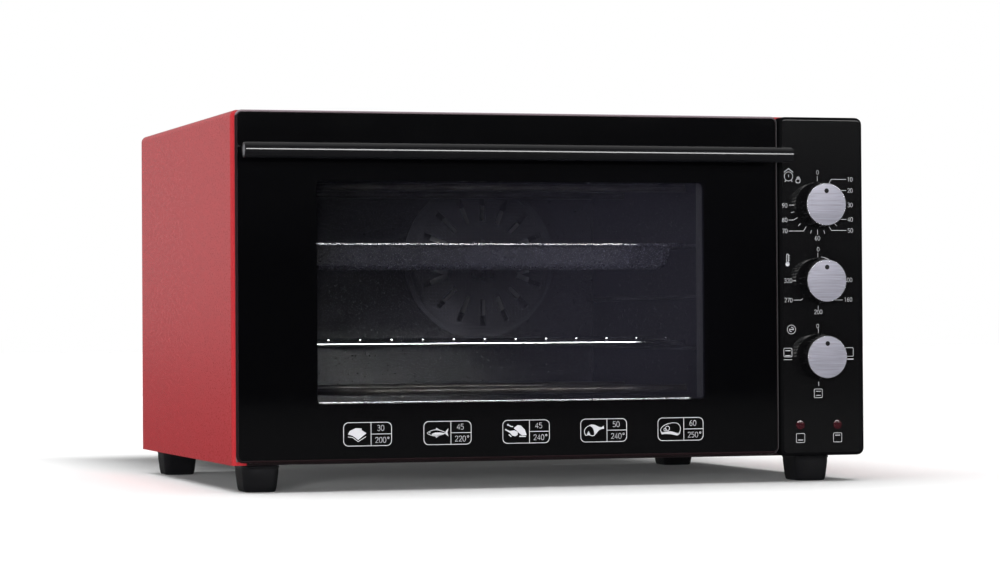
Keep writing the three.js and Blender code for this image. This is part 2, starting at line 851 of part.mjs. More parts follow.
/* The x of each pilot lamp. */
function lampPlaces() {
  return [knobX - lampPitch / 2, knobX + lampPitch / 2];
}

/* The two red pilot lamps, each a lens with its collar and body in one moulding. */
function pilotLamps() {
  const collarFront = panelWall + seatGap;
  const profile = [
    [0, -lampLensProud],
    [lampLensRadius / 2, -lampLensProud],
    [lampLensRadius, 0],
    [lampLensRadius, collarFront],
    [lampCollarRadius, collarFront],
    [lampCollarRadius, collarFront + lampBodyLength / 4],
    [lampLensRadius, collarFront + lampBodyLength / 4],
    [lampLensRadius, collarFront + lampBodyLength],
    [0, collarFront + lampBodyLength],
  ];
  const names = ['pilot_lamp_left', 'pilot_lamp_right'];
  return lampPlaces().map((x, at) => {
    const place = [x, 0, cabinetBottom + lampRise];
    return piece(names[at], turned(profile, 16), finishes.pilotRed, place);
  });
}

/* The threaded bush in front of a control, bored for its shaft. */
function bushOnto(body, front) {
  const nutFront = frameFront - seatGap;
  const nut = frontPlate(hexagon(1.5 * bushRadius), nutFront - bushRadius / 2, nutFront);
  const bush = rod(bushRadius, frameFront - bushReach, front + overrun);
  const bore = rod(shaftRadius + runningGap, frameFront - bushReach - overrun, front + shaftTail, 16);
  return cut(join(body, bush, nut), bore);
}

/* Draws a hexagon about the origin. */
function hexagon(radius) {
  const shape = new THREE.Shape();
  for (let corner = 0; corner < 6; corner += 1) {
    const angle = (corner * Math.PI) / 3;
    shape.lineTo(radius * Math.cos(angle), radius * Math.sin(angle));
  }
  return shape;
}

/* A row of flat contact tags at the back of a control. */
function tags(back, count) {
  const made = [];
  for (let at = 0; at < count; at += 1) {
    const x = (at - (count - 1) / 2) * tagPitch;
    made.push(frontPlate(rectangleAt(x, 0, tagWidth, tagThickness), back - overrun, back + tagLength));
  }
  return made;
}

/* The clockwork timer, the thermostat and the function switch behind the panel. */
function controls() {
  const front = frameBack + seatGap;
  const [timerZ, thermostatZ, selectorZ] = knobRises.map((rise) => cabinetBottom + rise);
  const can = rod(timerRadius, front, front + timerDepth, 24);
  const box = frontPlate(rectangleAt(0, 0, thermostatWidth, thermostatHeight), front, front + thermostatDepth);
  const block = frontPlate(rectangleAt(0, 0, selectorWidth, selectorWidth), front, front + selectorDepth);
  const timer = join(bushOnto(can, front), ...tags(front + timerDepth, 2));
  const thermostat = join(bushOnto(box, front), ...tags(front + thermostatDepth, 2));
  const selector = join(bushOnto(block, front), ...tags(front + selectorDepth, 3));
  return [
    piece('timer_body', timer, finishes.plainSteel, [knobX, 0, timerZ]),
    piece('thermostat_body', thermostat, finishes.plainSteel, [knobX, 0, thermostatZ]),
    piece('selector_body', selector, finishes.greyPlastic, [knobX, 0, selectorZ]),
  ];
}

/* The moulded body of a knob, bored from behind for its shaft. */
function knobSolid() {
  const back = -knobBackGap;
  const face = back - knobHeight;
  const profile = [
    [0, back],
    [knobSkirtRadius, back],
    [knobSkirtRadius, back - knobSkirtHeight / 2],
    [knobBaseRadius, back - knobSkirtHeight],
    [knobFaceRadius, face + knobFaceEdge],
    [knobFaceRadius - knobFaceEdge / 2, face],
    [0, face],
  ];
  return cut(turned(profile, 32), rod(shaftRadius + seatGap, back - knobBoreDepth, back + overrun));
}

/* The brushed disc on a knob's face. */
function capSolid() {
  const back = -knobBackGap - knobHeight - seatGap;
  const front = back - capThickness;
  const bevel = capThickness / 4;
  return turned([[0, back], [capRadius, back], [capRadius, front + bevel], [capRadius - bevel, front], [0, front]]);
}

/* The three knobs, each with its disc and its shaft. */
function knobs() {
  const front = -knobBackGap - knobBoreDepth + seatGap;
  const back = frameBack + seatGap + shaftTail - runningGap;
  return ['timer', 'thermostat', 'selector'].flatMap((name, at) => {
    const place = [knobX, 0, cabinetBottom + knobRises[at]];
    return [
      piece(`${name}_knob`, knobSolid(), finishes.blackPlastic, place),
      piece(`${name}_knob_cap`, capSolid(), finishes.brushedMetal, place),
      piece(`${name}_shaft`, rod(shaftRadius, front, back, 16), finishes.plainSteel, place),
    ];
  });
}

// Door pieces

/* The large front glass, with a hole for each handle screw. */
function doorGlassPane() {
  const edge = { left: doorLeft, right: doorRight, bottom: doorBottom, top: doorTop };
  const plate = frontPlate(rectangle(edge, glassCornerRadius), 0, doorGlass);
  const holes = postPlaces.map((x) => {
    return frontPlate(circle(x, barHeight, handleScrewRadius + runningGap), -overrun, doorGlass + overrun, 16);
  });
  return piece('door_glass', cut(plate, ...holes), finishes.glass);
}

/* The pressed door frame: a rim behind the glass and a box that fits the oven's mouth. */
function doorFrame() {
  const rim = doorFrameCornerRadius;
  const outer = join(
    frontPlate(rectangle(doorFrameEdge, rim), doorFrameFront, doorFrameBack),
    frontPlate(rectangle(doorBox, doorBoxRadius), doorFrameBack - doorFrameSheet / 2, doorBoxBack),
  );
  const sheet = doorFrameSheet;
  const front = doorFrameFront - overrun;
  const hollow = join(
    frontPlate(rectangle(inset(doorFrameEdge, sheet), rim - sheet), front, doorFrameBack - sheet),
    frontPlate(rectangle(inset(doorBox, sheet), doorBoxRadius - sheet), front, doorBoxBack - sheet),
  );
  const opening = frontPlate(rectangle(inset(windowBox, -windowMargin)), front, doorBoxBack + overrun);
  const rimSide = doorFrameInset + sheet;
  const pinEnd = earInset + earThickness / 2 + hingePinTail + runningGap;
  const notches = [[doorLeft + rimSide, doorLeft + pinEnd], [doorRight - pinEnd, doorRight - rimSide]];
  const cutNotch = ([left, right]) => {
    const top = pivotHeight + earRadius + 2 * runningGap;
    const box = { left, right, bottom: doorFrameBottom - overrun, top };
    return frontPlate(rectangle(box), front, doorFrameBack + overrun);
  };
  const slots = [doorLeft + armInset, doorRight - armInset].map((x) => {
    const middle = pivotHeight + armRadius;
    const shape = rectangleAt(x, middle, armThickness + 2 * runningGap, armWidth + 2 * runningGap);
    return frontPlate(shape, doorFrameBack - sheet - runningGap, doorFrameBack + overrun);
  });
  const pins = [doorFrameEdge.left, doorFrameEdge.right].map((x) => {
    const hole = circle(pivotDepth, pivotHeight, hingePinRadius + seatGap);
    return sidePlate(hole, x - overrun, x + overrun, 20);
  });
  const solid = cut(outer, hollow, opening, ...notches.map(cutNotch), ...slots, ...pins);
  return piece('door_frame', solid, finishes.darkSteel);
}

/* The second pane, seated in the door frame's box. */
function innerGlassPane() {
  const edge = inset(doorBox, doorFrameSheet + seatGap);
  const back = doorBoxBack - doorFrameSheet - seatGap;
  const shape = rectangle(edge, doorBoxRadius - doorFrameSheet - seatGap);
  return piece('inner_glass', frontPlate(shape, back - innerGlass, back), finishes.clearGlass);
}

/* The bright strip that holds the second pane's lower edge. */
function glassRetainer() {
  const edge = inset(doorBox, doorFrameSheet + seatGap);
  const back = doorBoxBack - doorFrameSheet - 2 * seatGap - innerGlass;
  const side = doorBoxRadius;
  const box = {
    left: edge.left + side,
    right: edge.right - side,
    bottom: edge.bottom,
    top: edge.bottom + retainerHeight,
  };
  return piece('glass_retainer', frontPlate(rectangle(box), back - retainerThickness, back), finishes.chrome);
}

/* The round bar of the handle, across the whole door. */
function handleBar() {
  const profile = [
    [0, 0],
    [barRadius - barEdge, 0],
    [barRadius, barEdge],
    [barRadius, doorWidth - barEdge],
    [barRadius - barEdge, doorWidth],
    [0, doorWidth],
  ];
  const bar = piece('handle_bar', turned(profile, 24), finishes.blackGloss, [doorLeft, -barStandOff, barHeight]);
  bar.rotation.z = -Math.PI / 2;
  return bar;
}

/* The posts between the glass and the bar, shaped to the bar and bored for a screw. */
function handlePosts() {
  const sink = rod(barRadius + seatGap, -2 * postRadius, 2 * postRadius, 24).rotate([0, 0, 90]);
  const post = cut(
    rod(postRadius, -barStandOff, -seatGap, 20),
    sink.translate([0, -barStandOff, 0]),
    rod(handleScrewRadius + seatGap, -handleScrewReach - seatGap, overrun, 12),
  );
  const names = ['handle_post_left', 'handle_post_right'];
  return postPlaces.map((x, at) => piece(names[at], post, finishes.blackGloss, [x, 0, barHeight]));
}

/* The screws that hold the posts from behind the glass. */
function handleScrews() {
  const head = doorGlass + seatGap;
  const profile = [
    [0, -handleScrewReach],
    [handleScrewRadius, -handleScrewReach],
    [handleScrewRadius, head],
    [handleScrewHeadRadius, head],
    [handleScrewHeadRadius, head + handleScrewHeadHeight],
    [0, head + handleScrewHeadHeight],
  ];
  const names = ['handle_screw_left', 'handle_screw_right'];
  return postPlaces.map((x, at) => piece(names[at], turned(profile, 12), finishes.plainSteel, [x, 0, barHeight]));
}

/* The curved arms that swing through the front frame round the hinge. */
function hingeArms() {
  const [inner, outer] = [armRadius - armWidth / 2, armRadius + armWidth / 2];
  const arc = new THREE.Shape();
  arc.absarc(0, 0, outer, armStartAngle, armEndAngle);
  arc.absarc(0, 0, inner, armEndAngle, armStartAngle, true);
  const headBack = doorFrameBack - doorFrameSheet - seatGap - pivotDepth;
  const head = {
    left: headBack - armHeadThickness,
    right: headBack,
    bottom: inner - 2 * runningGap,
    top: outer + 2 * runningGap,
  };
  const solid = join(
    sidePlate(arc, -armThickness / 2, armThickness / 2, 16),
    sidePlate(rectangle(head), -armHeadWidth / 2, armHeadWidth / 2),
  );
  const places = { hinge_arm_left: doorLeft + armInset, hinge_arm_right: doorRight - armInset };
  return Object.entries(places).map(([name, x]) => {
    return piece(name, solid, finishes.plainSteel, [x, pivotDepth, pivotHeight]);
  });
}

/* The hinge pins, each headed outside the door frame and ending past the ear. */
function hingePins() {
  const head = seatGap + hingePinHeadHeight;
  const end = doorFrameInset - earInset - earThickness / 2 - hingePinTail;
  const profile = [
    [0, head],
    [hingePinHeadRadius, head],
    [hingePinHeadRadius, seatGap],
    [hingePinRadius, seatGap],
    [hingePinRadius, end],
    [0, end],
  ];
  const solid = turned(profile, 16);
  const left = piece('hinge_pin_left', solid, finishes.plainSteel, [doorFrameEdge.left, pivotDepth, pivotHeight]);
  left.rotation.z = Math.PI / 2;
  const right = piece('hinge_pin_right', solid, finishes.plainSteel, [doorFrameEdge.right, pivotDepth, pivotHeight]);
  right.rotation.z = -Math.PI / 2;
  return [left, right];
}

/* The brackets on the front frame, each with an ear round its hinge pin. */
function hingeBrackets() {
  const back = frameFront - seatGap;
  const ear = new THREE.Shape();
  ear.moveTo(back - bracketThickness / 2, pivotHeight - earRadius);
  ear.lineTo(back - bracketThickness / 2, pivotHeight + earRadius);
  ear.absarc(pivotDepth, pivotHeight, earRadius, Math.PI / 2, 1.5 * Math.PI);
  const bore = circle(pivotDepth, pivotHeight, hingePinRadius + seatGap);
  const build = (x, towardsMiddle) => {
    const near = x - (towardsMiddle * earThickness) / 2;
    const far = near + towardsMiddle * bracketWidth;
    const box = {
      left: Math.min(near, far),
      right: Math.max(near, far),
      bottom: pivotHeight - earRadius,
      top: pivotHeight - earRadius + bracketHeight,
    };
    const leaf = frontPlate(rectangle(box), back - bracketThickness, back);
    const [from, to] = [x - earThickness / 2, x + earThickness / 2];
    const drill = sidePlate(bore, from - overrun, to + overrun, 20);
    return cut(join(leaf, sidePlate(ear, from, to, 8)), drill);
  };
  return [
    piece('hinge_bracket_left', build(doorLeft + earInset, 1), finishes.darkSteel),
    piece('hinge_bracket_right', build(doorRight - earInset, -1), finishes.darkSteel),
  ];
}

/* The y where a door spring starts, just behind the tail of its arm. */
function springFront() {
  return pivotDepth + armRadius + armWidth / 2 + seatGap;
}

/* Follows a coil spring along y, with straight ends on its axis. */
class SpringPath extends THREE.Curve {
  getPoint(share, target = new THREE.Vector3()) {
    const y = share * springLength;
    const coilLength = springLength - 2 * springTailLength;
    const inCoil = THREE.MathUtils.clamp((y - springTailLength) / coilLength, 0, 1);
    const ends = Math.min(y, springLength - y);
    const spread = THREE.MathUtils.smoothstep(ends, springTailLength / 2, springTailLength * 1.5);
    const radius = (springRadius - springWireRadius) * spread;
    const angle = 2 * Math.PI * springTurns * inCoil;
    return target.set(radius * Math.cos(angle), y, radius * Math.sin(angle));
  }
}

/* The coil springs that balance the door, one behind each arm. */
function doorSprings() {
  const steps = (springTurns + 2) * springStepsPerTurn;
  const solid = tube(new SpringPath(), springWireRadius, steps);
  const height = basePanFloor + springHookHeight / 2;
  const places = { door_spring_left: doorLeft + armInset, door_spring_right: doorRight - armInset };
  return Object.entries(places).map(([name, x]) => {
    return piece(name, solid, finishes.plainSteel, [x, springFront(), height]);
  });
}

// Fan pieces

/* The pressed guard on the rear wall, with slots round it and small holes in its middle. */
function fanGuard() {
  const back = cavityBack - seatGap;
  const face = back - guardDepth;
  const sheet = guardSheet;
  const rim = guardRadius - guardFlange;
  const profile = [
    [0, face],
    [guardFaceRadius, face],
    [rim, back - sheet],
    [guardRadius, back - sheet],
    [guardRadius, back],
    [rim - sheet, back],
    [guardFaceRadius - sheet, face + sheet],
    [0, face + sheet],
  ];
  const through = (shape) => frontPlate(shape, face - overrun, face + 2 * sheet, 6);
  const slots = [];
  for (let at = 0; at < guardSlotCount; at += 1) {
    const middle = (guardSlotInner + guardSlotOuter) / 2;
    const slot = through(rectangleAt(middle, 0, guardSlotOuter - guardSlotInner, guardSlotWidth));
    slots.push(slot.rotate([0, (360 * at) / guardSlotCount, 0]));
  }
  const holes = [through(circle(0, 0, guardHoleRadius))];
  for (let ring = 1; ring <= guardHoleRings; ring += 1) {
    for (let at = 0; at < 6 * ring; at += 1) {
      const angle = (2 * Math.PI * at) / (6 * ring);
      const radius = ring * guardHolePitch;
      holes.push(through(circle(radius * Math.cos(angle), radius * Math.sin(angle), guardHoleRadius)));
    }
  }
  const solid = cut(turned(profile, 36), ...slots, ...holes);
  return piece('fan_guard', solid, finishes.darkEnamel, [fanX, 0, fanHeight]);
}

/* The y of the impeller's disc. */
function impellerBack() {
  return cavityBack - 2 * runningGap;
}

/* The fan wheel: a hub and a disc with upright blades. */
function fanImpeller() {
  const back = impellerBack();
  const disc = rod(impellerRadius, back - impellerSheet, back, 32);
  const hub = rod(impellerHubRadius, back - bladeHeight, back, 16);
  const blades = [];
  for (let at = 0; at < bladeCount; at += 1) {
    const middle = impellerRadius - bladeLength / 2 - 2 * impellerSheet;
    const blade = frontPlate(rectangleAt(middle, 0, bladeLength, impellerSheet), back - bladeHeight, back);
    blades.push(blade.rotate([0, (360 * at) / bladeCount, 0]));
  }
  const bore = rod(fanShaftRadius + seatGap, back - bladeHeight + impellerSheet, back + overrun);
  return piece('fan_impeller', cut(join(disc, hub, ...blades), bore), finishes.plainSteel, [fanX, 0, fanHeight]);
}

/* The shaft between the fan wheel and its motor. */
function fanShaft() {
  const front = impellerBack() - bladeHeight + impellerSheet + seatGap;
  const back = cavityBack + linerSheet + seatGap + motorDepth - 2 * runningGap;
  return piece('fan_shaft', rod(fanShaftRadius, front, back), finishes.plainSteel, [fanX, 0, fanHeight]);
}

/* The fan motor on the outside of the rear wall. */
function fanMotor() {
  const front = cavityBack + linerSheet + seatGap;
  const body = frontPlate(rectangleAt(0, 0, motorWidth, motorWidth, motorCornerRadius), front, front + motorDepth);
  const bore = rod(fanShaftRadius + runningGap, front - overrun, front + motorDepth + overrun);
  return piece('fan_motor', cut(body, bore), finishes.darkSteel, [fanX, 0, fanHeight]);
}

// Loose pieces in the cavity

/* The wire rack: a round-cornered rail with cross wires welded on top of it. */
function wireRack() {
  const [left, right] = [cavityLeft + rackSideGap, cavityRight - rackSideGap];
  const railHeight = rackRestHeight + rackRailRadius;
  const rail = inset({ left, right, bottom: rackFront, top: rackBack }, rackRailRadius);
  const place = (x, y) => new THREE.Vector3(x, y, railHeight);
  const path = outlineRing(rail, rackCornerRadius, place, 4);
  const wireHeight = railHeight + rackRailRadius + rackWireRadius - rackWeld;
  const pitch = (right - left - 2 * rackWireInset) / (rackWireCount - 1);
  const wires = [];
  for (let at = 0; at < rackWireCount; at += 1) {
    const x = left + rackWireInset + at * pitch;
    const wire = rod(rackWireRadius, rackFront, rackBack, 6);
    wires.push(wire.translate([x, 0, wireHeight]));
  }
  return piece('wire_rack', join(loopOf(levelRings(path, rackRailRadius, true)), ...wires), finishes.chrome);
}

/* Skins rings into one closed loop, the last ring joined to the first. */
function loopOf(rings) {
  const count = rings[0].length;
  const positions = rings.flat().flatMap((point) => [point.x, point.y, point.z]);
  const index = [];
  rings.forEach((_, ring) => {
    const following = (ring + 1) % rings.length;
    for (let k = 0; k < count; k += 1) {
      const [here, next] = [ring * count + k, ring * count + ((k + 1) % count)];
      const [ahead, aheadNext] = [following * count + k, following * count + ((k + 1) % count)];
      index.push(here, next, aheadNext, here, aheadNext, ahead);
    }
  });
  const geometry = new THREE.BufferGeometry();
  geometry.setAttribute('position', new THREE.Float32BufferAttribute(positions, 3));
  geometry.setIndex(index);
  return solidOf(geometry);
}

/* The baking tray: a tapered pan with a flat rim that rests on the runners. */
function bakingTray() {
  const rim = {
    left: cavityLeft + rackSideGap,
    right: cavityRight - rackSideGap,
    bottom: rackFront,
    top: rackBack,
  };
  const ring = (amount, z) => {
    const place = (x, y) => new THREE.Vector3(x, y, z);
    return outlineRing(inset(rim, amount), trayCornerRadius - amount / 2, place, 5);
  };
  const top = trayRestHeight + trayRimThickness;
  const bottom = top - trayHeight;
  const foot = trayRim + trayTaper;
  const pan = loft([ring(foot, bottom), ring(trayRim, top)]);
  const plate = loft([ring(0, trayRestHeight), ring(0, top)]);
  const hollow = loft([
    ring(foot + traySheet, bottom + traySheet),
    ring(trayRim + traySheet, top),
    ring(trayRim + traySheet, top + overrun),
  ]);
  return piece('baking_tray', cut(join(pan, plate), hollow), finishes.darkEnamel);
}

// Mains inlet pieces

/* The bush in the rear panel that the mains lead passes through. */
function cordGland() {
  const outside = ovenBack + seatGap;
  const inside = backPanelFront - seatGap;
  const profile = [
    [glandBore, inside - glandInnerThickness],
    [glandFlangeRadius - seatGap, inside - glandInnerThickness],
    [glandFlangeRadius - seatGap, inside],
    [glandRadius, inside],
    [glandRadius, outside],
    [glandFlangeRadius, outside],
    [glandFlangeRadius - seatGap, outside + glandFlangeThickness],
    [glandBore, outside + glandFlangeThickness],
    [glandBore, inside - glandInnerThickness],
  ];
  const place = [cabinetWidth - glandRightInset, 0, cabinetBottom + glandRise];
  return piece('cord_gland', turned(profile, 16), finishes.blackPlastic, place);
}

/* The terminal block that the mains lead ends in. */
function terminalBlock() {
  const x = cabinetWidth - glandRightInset;
  const y = ovenBack - terminalRearInset - terminalDepth / 2;
  const bottom = basePanFloor + seatGap;
  const body = floorPlate(rectangleAt(x, y, terminalWidth, terminalDepth), bottom, bottom + terminalHeight);
  const slots = [];
  for (let at = 0; at < terminalSlotCount; at += 1) {
    const share = (at + 0.5) / terminalSlotCount - 0.5;
    const slot = rectangleAt(x + share * terminalWidth, y, terminalSlotWidth, terminalDepth - terminalSlotWidth);
    const top = bottom + terminalHeight;
    slots.push(floorPlate(slot, top - terminalSlotDepth, top + overrun));
  }
  return piece('terminal_block', cut(body, ...slots), finishes.greyPlastic);
}

// Assembly

/* Gathers pieces in a group of their own. */
function assembly(...pieces) {
  const group = new THREE.Group();
  group.add(...pieces.flat());
  return group;
}

const cabinet = assembly(
  outerShell(),
  frontFrame(),
  basePan(),
  partitionPlate(),
  backPanel(),
  backScrews(),
  feet(),
);
const cavity = assembly(
  cavityLiner(),
  heater('top_heater', topHeaterHeight()),
  heater('bottom_heater', bottomHeaterHeight()),
  thermostatProbe(),
  wireRack(),
  bakingTray(),
);
const controlUnit = assembly(controlPanel(), pilotLamps(), controls(), knobs());
const door = assembly(
  doorGlassPane(),
  doorFrame(),
  innerGlassPane(),
  glassRetainer(),
  handleBar(),
  handlePosts(),
  handleScrews(),
  hingeArms(),
  hingePins(),
);
const hinges = assembly(hingeBrackets(), doorSprings());
const fan = assembly(fanGuard(), fanImpeller(), fanShaft(), fanMotor());
const inlet = assembly(cordGland(), terminalBlock());

const oven = new THREE.Group();
oven.add(cabinet, cavity, controlUnit, door, hinges, fan, inlet);
const frontmost = -barStandOff - barRadius;
const rearmost = ovenBack + seatGap + glandFlangeThickness;
oven.position.set(-cabinetWidth / 2, -(frontmost + rearmost) / 2, 0);

const model = new THREE.Group();
model.add(oven);

export default model;
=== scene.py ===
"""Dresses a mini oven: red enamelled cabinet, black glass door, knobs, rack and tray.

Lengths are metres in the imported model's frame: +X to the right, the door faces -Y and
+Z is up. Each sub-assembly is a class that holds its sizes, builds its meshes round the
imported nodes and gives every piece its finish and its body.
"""

import logging
import math
from collections.abc import Callable, Iterable, Sequence
from dataclasses import dataclass, field
from enum import Enum
from functools import cache

import bmesh
import bpy
from mathutils import Matrix, Vector


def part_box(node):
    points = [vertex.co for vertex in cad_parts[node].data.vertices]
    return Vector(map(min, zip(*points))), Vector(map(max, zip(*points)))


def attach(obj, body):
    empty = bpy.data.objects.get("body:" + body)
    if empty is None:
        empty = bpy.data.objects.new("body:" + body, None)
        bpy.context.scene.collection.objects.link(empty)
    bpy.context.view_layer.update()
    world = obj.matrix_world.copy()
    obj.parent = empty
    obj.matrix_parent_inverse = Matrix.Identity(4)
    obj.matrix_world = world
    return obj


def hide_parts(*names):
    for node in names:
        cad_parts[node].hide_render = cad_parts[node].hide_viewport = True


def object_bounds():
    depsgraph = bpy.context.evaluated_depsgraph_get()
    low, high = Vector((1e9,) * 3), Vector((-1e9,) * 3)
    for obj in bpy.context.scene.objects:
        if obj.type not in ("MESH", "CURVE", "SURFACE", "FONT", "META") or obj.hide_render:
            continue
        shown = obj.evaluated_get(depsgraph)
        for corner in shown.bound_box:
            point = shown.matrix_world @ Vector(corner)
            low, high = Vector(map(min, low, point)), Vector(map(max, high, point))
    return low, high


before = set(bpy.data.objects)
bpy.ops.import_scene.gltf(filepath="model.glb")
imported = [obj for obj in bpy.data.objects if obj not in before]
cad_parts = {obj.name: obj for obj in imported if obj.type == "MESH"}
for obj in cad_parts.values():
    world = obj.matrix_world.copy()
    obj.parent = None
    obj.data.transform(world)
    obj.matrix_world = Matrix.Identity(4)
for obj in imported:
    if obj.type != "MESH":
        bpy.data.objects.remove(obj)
cad_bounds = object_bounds()
LOG = logging.getLogger("mini_oven")

MILLIMETRE = 0.001
WELD_DISTANCE = 1e-6
SMOOTH_ANGLE = math.radians(40)
FLAT_ANGLE = math.radians(0.5)
FOLD_ANGLE = math.radians(35)
EDGE_STEPS = 3
FULL_TURN = 2 * math.pi
QUARTER_TURN = math.pi / 2
SRGB_KNEE = 0.04045
FULL_LIGHT = 255
LEAST_ROUGHNESS = 0.02
FACE_AREA_WEIGHT = 100
UPWARD = Vector((0, 0, 1))
FORWARD = Vector((0, -1, 0))
BACKWARD = Vector((0, 1, 0))
RIGHTWARD = Vector((1, 0, 0))

Pair = tuple[float, float]
Stroke = tuple[tuple[float, float], ...]
Triple = tuple[float, float, float]
Colour = tuple[float, float, float, float]

MID_NOISE: Pair = (0.3, 0.7)
WHOLE: Pair = (0.0, 1.0)


class Body(Enum):
    """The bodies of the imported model."""

    CABINET = "cabinet"
    DOOR = "door"
    TIMER = "timer_control"
    THERMOSTAT = "thermostat_control"
    SELECTOR = "selector_control"
    FAN = "fan"
    RACK = "rack"
    TRAY = "tray"


class Slot(Enum):
    """The record's material slots."""

    RED_ENAMEL = "red_enamel"
    BLACK_PANEL = "black_panel"
    BLACK_BAR = "black_bar"
    BLACK_KNOB = "black_knob"
    BLACK_FOOT = "black_foot"
    DARK_ENAMEL = "dark_enamel"
    DARK_STEEL = "dark_steel"
    ZINC_STEEL = "zinc_steel"
    BRUSHED_DISC = "brushed_disc"
    BRIGHT_WIRE = "bright_wire"
    HEATER_SHEATH = "heater_sheath"
    FRONT_GLASS = "front_glass"
    REAR_GLASS = "rear_glass"
    LAMP_RED = "lamp_red"
    GREY_PLASTIC = "grey_plastic"


class Side(Enum):
    """Left or right, by the sign of x."""

    LEFT = -1
    RIGHT = 1


def paint(red: int, green: int, blue: int) -> Colour:
    """Turns a colour as a paint chart gives it, 0 to 255, into linear light.

    Args:
        red: The red value.
        green: The green value.
        blue: The blue value.

    Returns:
        The linear red, green and blue with a full alpha.
    """

    def linear(value: int) -> float:
        """Undoes the display curve of one value."""
        share = value / FULL_LIGHT
        return share / 12.92 if share <= SRGB_KNEE else ((share + 0.055) / 1.055) ** 2.4

    return (linear(red), linear(green), linear(blue), 1.0)


class Wiring:
    """Adds and joins the shader nodes of one material."""

    def __init__(self, name: str) -> None:
        """Makes an empty material with its main shader.

        Args:
            name: The material's name.
        """
        self.material = bpy.data.materials.new(name)
        self.material.use_nodes = True
        self.tree = self.material.node_tree
        self.shader = self.tree.nodes["Principled BSDF"]
        self.place = self.add("ShaderNodeTexCoord").outputs["Object"]

    def add(self, kind: str, settings: dict | None = None, **inputs: object) -> bpy.types.Node:
        """Adds a node, sets its options and fills or joins its inputs.

        Args:
            kind: The node's type.
            settings: Options of the node by name.
            **inputs: Values or outputs for its inputs, with _ for a blank.

        Returns:
            The new node.
        """
        node = self.tree.nodes.new(kind)
        for key, value in (settings or {}).items():
            setattr(node, key, value)
        for key, value in inputs.items():
            self.fill(node, key.replace("_", " "), value)
        return node

    def fill(self, node: bpy.types.Node, key: str | int, value: object) -> None:
        """Sets one input to a value, or joins an output to it.

        Args:
            node: The node.
            key: The input's name or number.
            value: The value or the output.
        """
        socket = node.inputs[key]
        if isinstance(value, bpy.types.NodeSocket):
            self.tree.links.new(value, socket)
        else:
            socket.default_value = value

    def fix(self, **values: object) -> None:
        """Sets constants straight on the main shader."""
        for key, value in values.items():
            self.fill(self.shader, key.replace("_", " "), value)

    def noise(
        self,
        scale: float,
        stretch: Sequence[float] = (1, 1, 1),
        detail: float = 2.0,
    ) -> bpy.types.NodeSocket:
        """Makes noise fixed to the piece.

        Args:
            scale: Cells in a metre.
            stretch: How much finer the cells are along each axis.
            detail: How many finer layers are added.

        Returns:
            The noise's value.
        """
        mapping = self.add("ShaderNodeMapping", Vector=self.place, Scale=tuple(stretch))
        node = self.add("ShaderNodeTexNoise", Vector=mapping.outputs[0], Scale=scale, Detail=detail)
        return node.outputs["Fac"]

    def cells(self, scale: float) -> bpy.types.NodeSocket:
        """Gives the distance to the nearest of many scattered points."""
        node = self.add("ShaderNodeTexVoronoi", Vector=self.place, Scale=scale)
        return node.outputs["Distance"]

    def span(
        self,
        value: bpy.types.NodeSocket,
        source: Pair = MID_NOISE,
        target: Pair = WHOLE,
    ) -> bpy.types.NodeSocket:
        """Maps one range of a value on to another and holds it there.

        Args:
            value: What is mapped.
            source: The range it comes in.
            target: The range it leaves in.

        Returns:
            The mapped value.
        """
        node = self.add("ShaderNodeMapRange", Value=value)
        for key, number in zip(("From Min", "From Max", "To Min", "To Max"), (*source, *target)):
            self.fill(node, key, number)
        return node.outputs["Result"]

    def blend(self, share: object, low: object, high: object) -> bpy.types.NodeSocket:
        """Mixes two colours by a share.

        Args:
            share: 0 for the first colour and 1 for the second.
            low: The first colour.
            high: The second colour.

        Returns:
            The mixed colour.
        """
        node = self.add("ShaderNodeMix", {"data_type": "RGBA"})
        self.fill(node, 0, share)
        self.fill(node, 6, low)
        self.fill(node, 7, high)
        return node.outputs[2]

    def split(self, vector: bpy.types.NodeSocket) -> bpy.types.NodeOutputs:
        """Splits a vector into its X, Y and Z."""
        return self.add("ShaderNodeSeparateXYZ", Vector=vector).outputs

    def facing(self) -> bpy.types.NodeOutputs:
        """Gives the X, Y and Z of the way the surface faces."""
        return self.split(self.add("ShaderNodeTexCoord").outputs["Normal"])

    def reckon(self, operation: str, first: object, second: object) -> bpy.types.NodeSocket:
        """Reckons with two values.

        Args:
            operation: The kind of sum, such as ADD.
            first: The first value.
            second: The second value.

        Returns:
            The result.
        """
        node = self.add("ShaderNodeMath", {"operation": operation})
        self.fill(node, 0, first)
        self.fill(node, 1, second)
        return node.outputs[0]

    def bump(self, height: bpy.types.NodeSocket, depth: float) -> None:
        """Roughens the surface by a height that varies over a real depth."""
        node = self.add("ShaderNodeBump", Height=height, Distance=depth, Strength=1.0)
        self.fix(Normal=node.outputs["Normal"])


